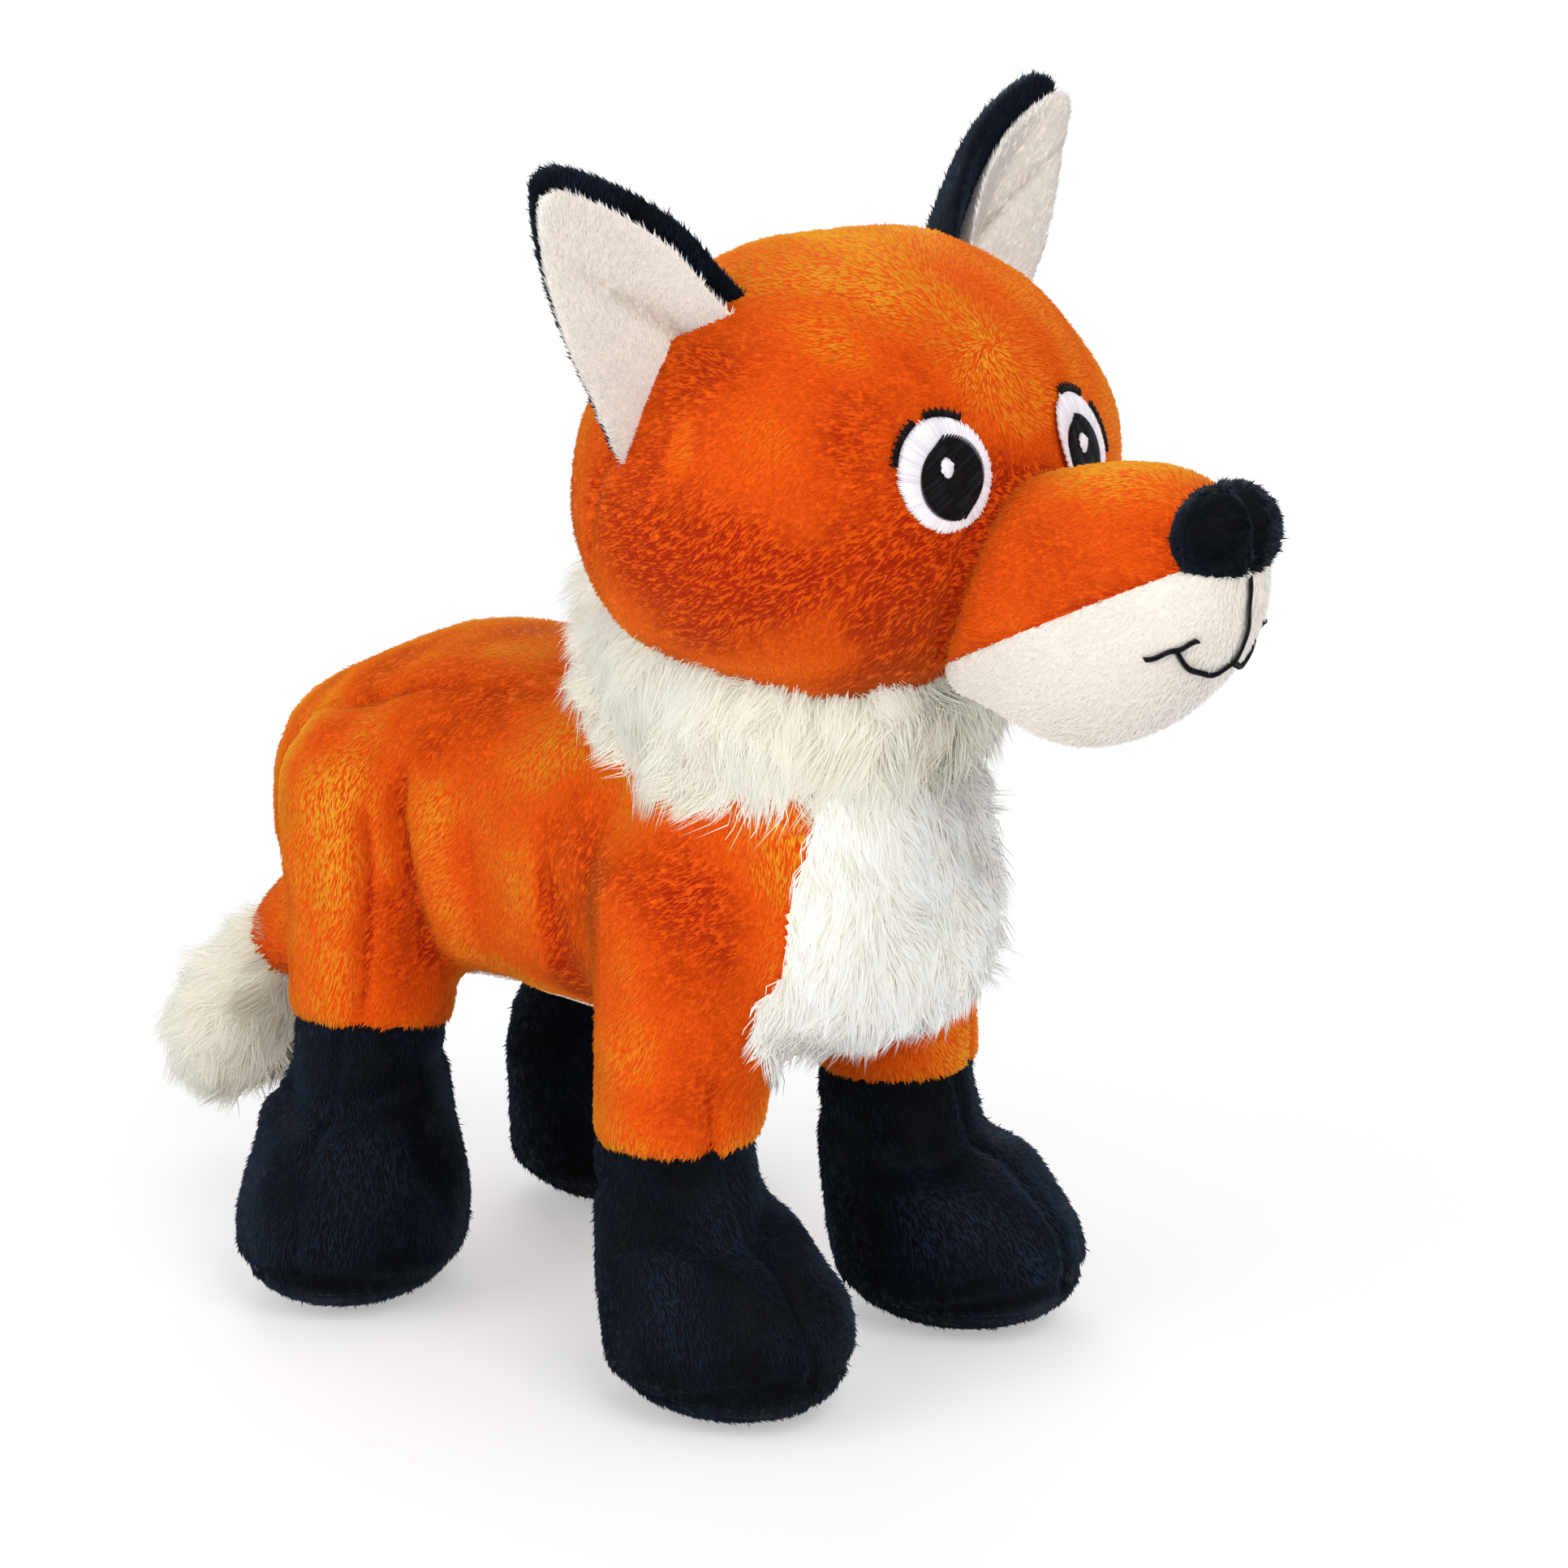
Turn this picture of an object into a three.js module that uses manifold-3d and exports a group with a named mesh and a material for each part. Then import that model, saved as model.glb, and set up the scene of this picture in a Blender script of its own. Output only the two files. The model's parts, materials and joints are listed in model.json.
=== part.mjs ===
// A standing plush fox with a padded head, four stuffed legs, folded ears and a two-part tail.
// Millimetres, +Z up. The fox looks along -Y and its right side is -X.
// The origin lies on the floor, under the middle of its bounding box.
import * as THREE from 'three';
import { mergeVertices } from 'three/addons/utils/BufferGeometryUtils.js';
import Module from 'manifold-3d';

const wasm = await Module();
wasm.setup();

// Cloth, gaps and cuts
const skinThickness = 2;
const seamGap = 0.3;
const ruffGap = 0.4;
const jointGap = 0.8;
const overrun = 6;
const floorCut = 0.5;
const weldDistance = 0.001;

// Torso
const torsoHalfWidth = 45;
const torsoHalfHeight = 41;
const torsoFrontY = -87.5;
const torsoRearY = 112;
const torsoMiddleZ = 116;
const torsoArch = 5;
const gussetRearHalfWidth = 34;
const gussetFrontHalfWidth = 16;
const gussetFrontY = -22;
const gussetBottomZ = 92;
const bellyHalfWidth = 24;
const bellyRearY = 84;
const bellySeamZ = 92;
const bibHalfWidth = 36;
const bibTopZ = 160;
const bibBottomZ = 78;
const bibRise = 2.5;

// Neck: the ball that the torso, the neck and the head share
const neckPivotY = -45;
const neckPivotZ = 132;
const shoulderRadius = 43.5;
const neckRadius = 26;
const neckThickness = 7;

// Ruff
const ruffHalfWidth = 53.5;
const ruffMiddleY = -44;
const ruffBottomZ = 134;
const ruffTopZ = 203;
const ruffEdgeZ = 153;
const ruffEdgeRise = 10;

// Head
const headHalfWidth = 65;
const headHalfDepth = 56.5;
const headMiddleY = -62;
const headBottomZ = 163;
const headTopZ = 272.5;
const headLean = 3;
const crownSeamY = -74;
const earSeamTopZ = 258;
const earSeamBottomZ = 224;
const earSeamBottomY = -44;
const napeSeamY = -24;

// Muzzle, nose and mouth
const muzzleHalfWidth = 22;
const muzzleHalfHeight = 32.5;
const muzzleRootY = -96;
const muzzleTipY = -180;
const muzzleMiddleZ = 198;
const muzzleLift = 15;
const lipSeamRootZ = 177;
const lipSeamTipZ = 219;
const noseHalfWidth = 15;
const noseHalfDepth = 9;
const noseHalfHeight = 11.5;
const noseSetback = 5.5;
const noseY = muzzleTipY + noseSetback;
const noseZ = 221.5;
const mouthWidth = 1.6;
const mouthHalfWidth = 13.5;
const mouthZ = 193.5;
const mouthCornerZ = 197.5;
const mouthDip = 6;
const mouthTick = 5;

// Eyes
const eyeHalfSpacing = 25;
const eyeZ = 229;
const eyeTurn = 0.34;
const eyeTilt = 0.1;
const eyeHalfWidth = 11.4;
const eyeHalfHeight = 13.2;
const pupilHalfWidth = 8;
const pupilHalfHeight = 9.4;
const pupilShift = 1.2;
const glintHalfWidth = 1.6;
const glintHalfHeight = 2;
const glintRise = 2.6;
const lashWidth = 2.2;
const stitchHeight = 0.9;

// Ears
const earFootFront = new THREE.Vector3(38, -74, 257);
const earFootRear = new THREE.Vector3(62, -47, 224);
const earTip = new THREE.Vector3(84, -50, 295);
const earBow = new THREE.Vector3(1.5, 4, 4);
const earTopSlope = THREE.MathUtils.degToRad(27);
const earHalfWidth = 24.5;
const earBackThickness = 3;
const earLiningThickness = 2.4;
const earRim = 3;
const earCup = 10;
const earSink = 7;
const earGap = 0.6;

// Legs
const legHalfSpacing = 38;
const frontLegY = -44;
const hindLegY = 61;
const sleeveHalfWidth = 21;
const frontHemZ = 63;
const hindHemZ = 68;
const sockHalfWidth = 27;
const sockHalfLength = 33;
const frontToeReach = 18;
const hindToeReach = 12;
const soleSeamZ = 8;
const frontSplay = 0.12;
const hindSplay = 1.2;

// How far the head and the ears turn each way, in radians
const headTurnLimit = THREE.MathUtils.degToRad(20);
const headNodLimit = THREE.MathUtils.degToRad(10);
const earFoldLimit = THREE.MathUtils.degToRad(20);

// Tail
const tailPivot = new THREE.Vector3(0, 112, 78);
const tailBend = new THREE.Vector3(0, 134, 60);
const tailTip = new THREE.Vector3(0, 164, 22);
const tailRootRadius = 13;
const tailTipRadius = 18;
const tailBallRadius = 12;
const tailOpening = 4;

// Directions
const acrossX = new THREE.Vector3(1, 0, 0);
const alongY = new THREE.Vector3(0, 1, 0);
const upZ = new THREE.Vector3(0, 0, 1);

// Counts of sides and rings on the rounded forms
const bodySides = 18;
const bodyRings = 10;
const limbSides = 10;
const limbRings = 5;
const bootRings = 7;
const smallSides = 8;
const smallRings = 5;
const ballSides = 24;
const ballRings = 14;
const smallBallSides = 12;
const smallBallRings = 8;
const outlineSteps = 14;
const strokeSteps = 4;

// Each row of a share table holds the width share, height share and bend share at one station.
const torsoShares = [
  [0.98, 0.92, -0.4], [1, 0.98, 0], [0.96, 0.98, 0.3], [1.02, 1.02, 0.3], [0.96, 0.88, -1.2],
];
const torsoBluntShare = 0.42;
const torsoSquareShare = 0.76;
const bibShares = [[0.75, 1], [0.8, 0.7], [0.93, 0.42], [1, 0.16], [0.62, 0.03]];
const ruffShares = [[0.94, 0.94, 0], [0.99, 0.99, 0], [1, 1, 0], [0.98, 0.98, 0], [0.9, 0.9, 0]];
const ruffBluntShare = 0.3;
const headShares = [[0.95, 0.93, 1], [1, 0.99, 0.6], [1, 1, 0], [0.97, 0.97, -0.4], [0.93, 0.92, -0.8]];
const headBluntShare = 0.88;
const headSquareShare = 0.9;
const muzzleShares = [[0.94, 0.92, 0], [0.98, 0.97, 0], [1, 1, 0.12], [0.94, 0.94, 0.45], [0.82, 0.72, 0.86]];
const muzzleBluntShare = 0.5;
const muzzleSquareShare = 0.95;
const noseShares = [[1, 1, 0], [1, 1, 0], [0.92, 0.92, 0]];
const noseBluntShare = 0.75;
const earShares = [[1.3, 1, 0], [0.91, 1, 0.8], [0.76, 1, 1], [0.54, 1, 0.75], [0.26, 1, 0]];
const earBluntShare = 0.42;
const sleeveShares = [[1.3, 1.3, 0], [1.14, 1.14, 0], [1.02, 1.02, 0], [0.98, 0.98, 0]];
const sleeveBluntShare = 0.16;
const sockShares = [
  [0.72, 0.59, 0], [0.73, 0.62, 0.06], [0.8, 0.76, 0.36], [0.97, 0.96, 0.88], [1, 1, 1], [0.96, 0.96, 1],
];
const sockBluntShare = 0.16;
const sockCrowding = 1.6;
const tailRootShares = [[0.9, 0.9, 0], [1, 1, 0], [0.98, 0.98, 0]];
const tailRootBluntShare = 0.6;
const tailTipShares = [[0.6, 0.6, 0], [0.84, 0.84, 0], [1.04, 1.04, 0], [1, 1, 0]];
const tailTipBluntShare = 0.7;
const lashFromShare = 0.28;
const lashToShare = 1.1;

// Materials
const look = (color, roughness) => new THREE.MeshStandardMaterial({ color, roughness, metalness: 0 });
const orangePlush = look(0xdd5f12, 0.9);
const creamPile = look(0xf2eddb, 0.95);
const creamPlush = look(0xeee4d6, 0.92);
const blackPlush = look(0x10151d, 0.9);
const whiteThread = look(0xf1eef6, 0.6);
const blackThread = look(0x121319, 0.55);
const stuffing = look(0xf4f3ef, 1);

const mirrorX = new THREE.Matrix4().makeScale(-1, 1, 1);
const point = (x, y, z) => new THREE.Vector3(x, y, z);
const signedPower = (value, power) => Math.sign(value) * Math.abs(value) ** power;

/** The place on a swelling form at a share of its length and an angle round it. */
function placeOn(spec, share, angle, inset) {
  const { from, to, across, upright, sideways, shares, blunt } = spec;
  const { turnTo = sideways, bend = point(0, 0, 0), square = 1, cup = 0 } = spec;
  const along = to.clone().sub(from).normalize();
  const aside = sideways.clone().lerp(turnTo, Math.sqrt(share)).normalize();
  const over = along.clone().cross(aside).normalize();
  const start = from.clone().addScaledVector(along, inset);
  const end = to.clone().addScaledVector(along, -inset);
  const table = new THREE.CatmullRomCurve3(shares.map((row) => point(...row)), false, 'catmullrom');
  const row = table.getPoint(share);
  const ring = Math.sqrt(Math.max(0, 1 - (1 - 2 * share) ** 2)) ** blunt;
  const side = signedPower(Math.cos(angle), square) * (across * row.x - inset) * ring;
  const rise = signedPower(Math.sin(angle), square) * (upright * row.y - inset) * ring;
  return new THREE.Vector3().lerpVectors(start, end, share)
    .addScaledVector(bend, row.z)
    .addScaledVector(aside, side)
    .addScaledVector(over, rise + cup * (side / across) ** 2);
}

/** A closed form that swells and tapers from one end to the other. */
function swell(spec, inset = 0) {
  const { sides, rings, crowding = 1 } = spec;
  const geometry = new THREE.SphereGeometry(1, sides, rings);
  const places = geometry.attributes.position;
  const unit = new THREE.Vector3();
  for (let i = 0; i < places.count; i += 1) {
    unit.fromBufferAttribute(places, i);
    const share = 1 - ((1 + unit.y) / 2) ** crowding;
    const place = placeOn(spec, share, Math.atan2(unit.z, unit.x), inset);
    places.setXYZ(i, place.x, place.y, place.z);
  }
  return toSolid(geometry);
}

/** A solid for cutting and joining, from a closed geometry. */
function toSolid(geometry) {
  const bare = geometry.clone();
  bare.deleteAttribute('normal');
  bare.deleteAttribute('uv');
  const merged = mergeVertices(bare, weldDistance);
  return new wasm.Manifold(new wasm.Mesh({
    numProp: 3,
    vertProperties: new Float32Array(merged.attributes.position.array),
    triVerts: new Uint32Array(merged.index.array),
  }));
}

/** The geometry of a finished solid. */
function toGeometry(solid) {
  const mesh = solid.getMesh();
  const geometry = new THREE.BufferGeometry();
  geometry.setAttribute('position', new THREE.BufferAttribute(mesh.vertProperties, mesh.numProp));
  geometry.setIndex(new THREE.BufferAttribute(mesh.triVerts, 1));
  geometry.computeVertexNormals();
  return geometry;
}

/** A ball round a centre. */
function ball(centre, radius, sides = ballSides, rings = ballRings) {
  const geometry = new THREE.SphereGeometry(radius, sides, rings);
  geometry.rotateX(Math.PI / 2);
  geometry.translate(centre.x, centre.y, centre.z);
  return toSolid(geometry);
}

/** A small ball round a centre. */
const smallBall = (centre, radius) => ball(centre, radius, smallBallSides, smallBallRings);

/** An upright round post between two heights. */
function post(x, y, radius, fromZ, toZ) {
  const geometry = new THREE.CylinderGeometry(radius, radius, toZ - fromZ, ballSides);
  geometry.rotateX(Math.PI / 2);
  geometry.translate(x, y, (fromZ + toZ) / 2);
  return toSolid(geometry);
}

/** A box between two corners. */
function block(low, high) {
  const size = high.clone().sub(low);
  const geometry = new THREE.BoxGeometry(size.x, size.y, size.z);
  geometry.translate((low.x + high.x) / 2, (low.y + high.y) / 2, (low.z + high.z) / 2);
  return toSolid(geometry);
}

/** An outline pushed along the third of three axes, from a start place. */
function prism(outline, axes, start, depth) {
  const geometry = new THREE.ExtrudeGeometry(new THREE.Shape(outline), { depth, bevelEnabled: false });
  const matrix = new THREE.Matrix4().makeBasis(...axes).setPosition(start);
  geometry.applyMatrix4(matrix);
  return toSolid(geometry);
}

/** A solid joined with its copies turned about an axis. */
function swept(solid, centre, axis, angles) {
  const copies = angles.map((angle) => {
    const turn = new THREE.Matrix4().makeTranslation(centre)
      .multiply(new THREE.Matrix4().makeRotationAxis(axis, angle))
      .multiply(new THREE.Matrix4().makeTranslation(centre.clone().negate()));
    return toSolid(toGeometry(solid).applyMatrix4(turn));
  });
  return copies.reduce((all, one) => all.add(one), solid);
}

/** A named mesh of one piece. */
function piece(name, solid, material) {
  const mesh = new THREE.Mesh(toGeometry(solid), material);
  mesh.name = name;
  return mesh;
}

const fox = new THREE.Group();
const reach = torsoRearY - muzzleTipY;
const everywhere = (zLow, zHigh) => block(point(-reach, -reach, zLow), point(reach, reach, zHigh));
const onSide = (side, gap) => block(
  point(Math.min(side * gap, side * reach), -reach, -overrun),
  point(Math.max(side * gap, side * reach), reach, reach),
);

// Torso: two side panels, a back gusset, a belly panel and a long-piled bib round one filling
const neckPivot = point(0, neckPivotY, neckPivotZ);
const torso = {
  from: point(0, torsoFrontY, torsoMiddleZ),
  to: point(0, torsoRearY, torsoMiddleZ),
  across: torsoHalfWidth,
  upright: torsoHalfHeight,
  sideways: acrossX,
  bend: upZ.clone().multiplyScalar(torsoArch),
  shares: torsoShares,
  blunt: torsoBluntShare,
  square: torsoSquareShare,
  sides: bodySides,
  rings: bodyRings,
};
const neckFloorRadius = shoulderRadius - neckThickness;
const neckTopZ = neckPivotZ + shoulderRadius + overrun;
const neckRecess = post(0, neckPivotY, neckRadius + jointGap, neckPivotZ, neckTopZ)
  .subtract(ball(neckPivot, neckFloorRadius - jointGap));
const tailSocket = smallBall(tailPivot, tailRootRadius + jointGap);
const torsoForm = (inset) => swell(torso, inset)
  .add(ball(neckPivot, shoulderRadius - inset))
  .subtract(neckRecess)
  .subtract(tailSocket);
const torsoOuter = torsoForm(0);
const torsoGrown = swell(torso, -seamGap).add(ball(neckPivot, shoulderRadius + seamGap));
const torsoCavity = swell(torso, skinThickness).add(ball(neckPivot, shoulderRadius - skinThickness));
const torsoStuffing = torsoForm(skinThickness + seamGap);

const bibHeight = bibTopZ - bibBottomZ;
const bibHalf = (gap) => bibShares.map(([width, height]) => (
  new THREE.Vector2(bibHalfWidth * width + gap, bibBottomZ + bibHeight * height)
));
const bibCutter = (gap) => prism(
  [
    ...bibHalf(gap),
    new THREE.Vector2(0, bibBottomZ - gap),
    ...bibHalf(gap).reverse().map((place) => new THREE.Vector2(-place.x, place.y)),
  ],
  [acrossX, upZ, alongY.clone().negate()],
  point(0, neckPivotY, 0),
  neckPivotY - torsoFrontY + overrun,
);
const torsoUnderZ = torsoMiddleZ - torsoHalfHeight - overrun * 2;
const rumpCutter = (gap) => block(
  point(-gussetRearHalfWidth - gap, bellyRearY + seamGap - gap, torsoUnderZ),
  point(gussetRearHalfWidth + gap, torsoRearY + overrun, gussetBottomZ + overrun),
);
const backCutter = (gap) => prism(
  [
    new THREE.Vector2(-gussetFrontHalfWidth - gap, gussetFrontY - gap),
    new THREE.Vector2(gussetFrontHalfWidth + gap, gussetFrontY - gap),
    new THREE.Vector2(gussetRearHalfWidth + gap, hindLegY),
    new THREE.Vector2(gussetRearHalfWidth + gap, torsoRearY + overrun),
    new THREE.Vector2(-gussetRearHalfWidth - gap, torsoRearY + overrun),
    new THREE.Vector2(-gussetRearHalfWidth - gap, hindLegY),
  ],
  [acrossX, alongY, upZ],
  point(0, 0, gussetBottomZ + seamGap - gap),
  torsoHalfHeight * 2,
).add(rumpCutter(gap));
const bellyCutter = (gap) => block(
  point(-bellyHalfWidth - gap, neckPivotY + seamGap - gap, torsoUnderZ),
  point(bellyHalfWidth + gap, bellyRearY + gap, bellySeamZ),
);
const torsoShell = torsoOuter.subtract(torsoCavity);

// Legs: sleeve, sock and sole round one filling each
const frontLeg = { y: frontLegY, hemZ: frontHemZ, splay: frontSplay, toeReach: frontToeReach };
const hindLeg = { y: hindLegY, hemZ: hindHemZ, splay: hindSplay, toeReach: hindToeReach };
const legs = [
  { name: 'front_right', side: -1, ...frontLeg },
  { name: 'front_left', side: 1, ...frontLeg },
  { name: 'hind_right', side: -1, ...hindLeg },
  { name: 'hind_left', side: 1, ...hindLeg },
];
for (const leg of legs) {
  const x = leg.side * legHalfSpacing;
  const toe = point(leg.side * Math.sin(leg.splay), -Math.cos(leg.splay), 0);
  const sideways = upZ.clone().cross(toe);
  leg.sleeve = {
    from: point(x, leg.y, torsoMiddleZ),
    to: point(x, leg.y, leg.hemZ - overrun * 2),
    across: sleeveHalfWidth,
    upright: sleeveHalfWidth,
    sideways,
    shares: sleeveShares,
    blunt: sleeveBluntShare,
    sides: limbSides,
    rings: limbRings,
  };
  leg.sock = {
    from: point(x, leg.y, leg.hemZ + overrun),
    to: point(x, leg.y, -floorCut),
    across: sockHalfWidth,
    upright: sockHalfLength,
    sideways,
    bend: toe.clone().multiplyScalar(leg.toeReach),
    shares: sockShares,
    blunt: sockBluntShare,
    crowding: sockCrowding,
    sides: limbSides,
    rings: bootRings,
  };
  leg.tube = (inset) => swell(leg.sleeve, inset).intersect(everywhere(leg.hemZ, neckTopZ));
  leg.boot = (inset) => swell(leg.sock, inset);
}

let sidePanels = torsoShell
  .subtract(bibCutter(seamGap))
  .subtract(backCutter(seamGap))
  .subtract(bellyCutter(seamGap));
let bellyPanel = torsoShell.intersect(bellyCutter(0));
let backPanel = torsoShell.intersect(backCutter(0));
for (const leg of legs) {
  const passage = leg.tube(skinThickness);
  sidePanels = sidePanels.subtract(passage);
  bellyPanel = bellyPanel.subtract(passage);
  backPanel = backPanel.subtract(passage);
}
const largest = (solid) => solid.decompose().sort((a, b) => b.volume() - a.volume())[0];
fox.add(piece('torso_side_right', largest(sidePanels.intersect(onSide(-1, seamGap / 2))), orangePlush));
fox.add(piece('torso_side_left', largest(sidePanels.intersect(onSide(1, seamGap / 2))), orangePlush));
fox.add(piece('back_panel', largest(backPanel), orangePlush));
fox.add(piece('belly_panel', largest(bellyPanel), creamPlush));
const bib = (gap) => swell(torso, -bibRise - gap)
  .add(ball(neckPivot, shoulderRadius + gap))
  .intersect(bibCutter(gap));
const ruffWay = everywhere(ruffEdgeZ - ruffEdgeRise * 2, headTopZ).subtract(ball(neckPivot, shoulderRadius));
fox.add(piece('chest_bib', largest(bib(0).subtract(torsoCavity).subtract(ruffWay)), creamPile));
fox.add(piece('torso_filling', torsoStuffing, stuffing));

for (const leg of legs) {
  const sleeve = leg.tube(0).subtract(leg.tube(skinThickness)).subtract(torsoGrown).subtract(bib(seamGap));
  fox.add(piece(`leg_sleeve_${leg.name}`, largest(sleeve), orangePlush));
  const wall = leg.boot(0).subtract(leg.boot(skinThickness));
  const sock = wall.intersect(everywhere(soleSeamZ + seamGap, leg.hemZ - seamGap));
  fox.add(piece(`sock_${leg.name}`, largest(sock), blackPlush));
  const sole = wall.intersect(everywhere(0, soleSeamZ));
  fox.add(piece(`sole_${leg.name}`, largest(sole), blackPlush));
  const stuffingInset = skinThickness + seamGap;
  const filling = leg.tube(stuffingInset).add(leg.boot(stuffingInset))
    .subtract(torsoForm(skinThickness))
    .subtract(bib(seamGap));
  fox.add(piece(`leg_filling_${leg.name}`, largest(filling), stuffing));
}

// Neck: a round wad of filling between the torso and the head
const neckFilling = post(0, neckPivotY, neckRadius, neckPivotZ, neckTopZ)
  .intersect(ball(neckPivot, shoulderRadius))
  .subtract(ball(neckPivot, neckFloorRadius));
fox.add(piece('neck_filling', neckFilling, stuffing));

// Head: a face panel and a back panel round one filling
const head = {
  from: point(0, headMiddleY, headBottomZ),
  to: point(0, headMiddleY, headTopZ),
  across: headHalfWidth,
  upright: headHalfDepth,
  sideways: acrossX,
  bend: alongY.clone().multiplyScalar(headLean),
  shares: headShares,
  blunt: headBluntShare,
  square: headSquareShare,
  sides: bodySides,
  rings: bodyRings,
};
const muzzle = {
  from: point(0, muzzleRootY, muzzleMiddleZ),
  to: point(0, muzzleTipY, muzzleMiddleZ),
  across: muzzleHalfWidth,
  upright: muzzleHalfHeight,
  sideways: acrossX,
  bend: upZ.clone().multiplyScalar(muzzleLift),
  shares: muzzleShares,
  blunt: muzzleBluntShare,
  square: muzzleSquareShare,
  sides: limbSides + 4,
  rings: limbRings + 2,
};
const neckBowl = ball(neckPivot, shoulderRadius + jointGap);
const headCutter = (gap) => prism(
  [
    new THREE.Vector2(crownSeamY - gap, headTopZ + overrun),
    new THREE.Vector2(crownSeamY - gap, earSeamTopZ),
    new THREE.Vector2(earSeamBottomY - gap, earSeamBottomZ),
    new THREE.Vector2(napeSeamY - gap, headBottomZ - overrun),
    new THREE.Vector2(headMiddleY + headHalfDepth * 2, headBottomZ - overrun),
    new THREE.Vector2(headMiddleY + headHalfDepth * 2, headTopZ + overrun),
  ],
  [alongY, upZ, acrossX],
  point(-headHalfWidth * 2, 0, 0),
  headHalfWidth * 4,
);
const headOuter = swell(head);
const headGrown = swell(head, -seamGap);
const headShell = headOuter.subtract(swell(head, skinThickness)).subtract(neckBowl);
const facePanel = headShell.subtract(headCutter(seamGap)).subtract(swell(muzzle, skinThickness));
fox.add(piece('face_panel', largest(facePanel), orangePlush));
fox.add(piece('head_back_panel', largest(headShell.intersect(headCutter(0))), orangePlush));
const headFilling = swell(head, skinThickness + seamGap).subtract(neckBowl);
fox.add(piece('head_filling', largest(headFilling), stuffing));

// Muzzle: the orange bridge above, the cream chin below
const muzzleShell = swell(muzzle).subtract(swell(muzzle, skinThickness)).subtract(headGrown);
const lipCutter = (gap) => prism(
  [
    new THREE.Vector2(muzzleRootY, lipSeamRootZ + gap),
    new THREE.Vector2(muzzleTipY - overrun, lipSeamTipZ + gap),
    new THREE.Vector2(muzzleTipY - overrun, muzzleMiddleZ + muzzleHalfHeight * 2),
    new THREE.Vector2(muzzleRootY, muzzleMiddleZ + muzzleHalfHeight * 2),
  ].reverse(),
  [alongY, upZ, acrossX],
  point(-muzzleHalfWidth * 2, 0, 0),
  muzzleHalfWidth * 4,
);
fox.add(piece('muzzle_top', largest(muzzleShell.intersect(lipCutter(seamGap))), orangePlush));
fox.add(piece('chin', largest(muzzleShell.subtract(lipCutter(0))), creamPlush));
const muzzleFilling = swell(muzzle, skinThickness + seamGap).subtract(swell(head, skinThickness));
fox.add(piece('muzzle_filling', largest(muzzleFilling), stuffing));

const noseForm = {
  from: point(0, noseY + noseHalfDepth, noseZ),
  to: point(0, noseY - noseHalfDepth, noseZ),
  across: noseHalfWidth,
  upright: noseHalfHeight,
  sideways: acrossX,
  shares: noseShares,
  blunt: noseBluntShare,
  sides: smallSides,
  rings: smallRings,
};
fox.add(piece('nose', largest(swell(noseForm).subtract(swell(muzzle, -seamGap))), blackPlush));

// Mouth: one embroidered line down from the nose, and the smile with a tick at each end
const frontAxes = [acrossX, upZ, alongY.clone().negate()];

/** The outline of a stroke of even width along a flat path. */
function stroke(places) {
  const sides = [1, -1].map((side) => places.map((place, index) => {
    const before = places[Math.max(index - 1, 0)];
    const after = places[Math.min(index + 1, places.length - 1)];
    const normal = new THREE.Vector2(before.y - after.y, after.x - before.x).normalize();
    return place.clone().addScaledVector(normal, side * mouthWidth / 2);
  }));
  const outline = [...sides[0], ...sides[1].reverse()];
  const start = point(0, noseY + muzzleHalfWidth, 0);
  return prism(THREE.ShapeUtils.isClockWise(outline) ? outline.reverse() : outline, frontAxes, start, reach);
}

const lip = new THREE.Vector2(0, mouthZ);
const mouthStrokes = [[new THREE.Vector2(0, noseZ), lip]];
for (const side of [-1, 1]) {
  const corner = new THREE.Vector2(side * mouthHalfWidth, mouthCornerZ);
  const low = new THREE.Vector2(side * mouthHalfWidth / 2, mouthZ - mouthDip);
  const tickEnd = new THREE.Vector2(mouthTick / 2 * side, -mouthTick / 2);
  mouthStrokes.push(new THREE.QuadraticBezierCurve(lip, low, corner).getPoints(strokeSteps));
  mouthStrokes.push([corner.clone().sub(tickEnd), corner.clone().add(tickEnd)]);
}
const mouthPrint = mouthStrokes.map(stroke).reduce((all, one) => all.add(one));
const muzzleLayer = swell(muzzle, -seamGap - stitchHeight).subtract(swell(muzzle, -seamGap));
const mouthLine = muzzleLayer.intersect(mouthPrint).subtract(swell(noseForm, -seamGap));
fox.add(piece('mouth_line', largest(mouthLine), blackThread));

// Eyes: stitched patches that lie in one layer over the face
const ellipse = (halfWidth, halfHeight, centreX, centreY) => {
  const curve = new THREE.EllipseCurve(centreX, centreY, halfWidth, halfHeight, 0, Math.PI * 2);
  return curve.getPoints(outlineSteps).slice(0, -1);
};
const lashOutline = () => {
  const from = Math.PI * lashFromShare;
  const to = Math.PI * lashToShare;
  const arc = (rise) => new THREE.EllipseCurve(0, 0, eyeHalfWidth + rise, eyeHalfHeight + rise, from, to);
  const inner = arc(seamGap * 2);
  const outer = arc(seamGap * 2 + lashWidth);
  return [...outer.getPoints(outlineSteps / 2), ...inner.getPoints(outlineSteps / 2).reverse()];
};
const stitchLayer = swell(head, -seamGap - stitchHeight)
  .subtract(headGrown)
  .subtract(swell(muzzle, -seamGap));
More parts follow.
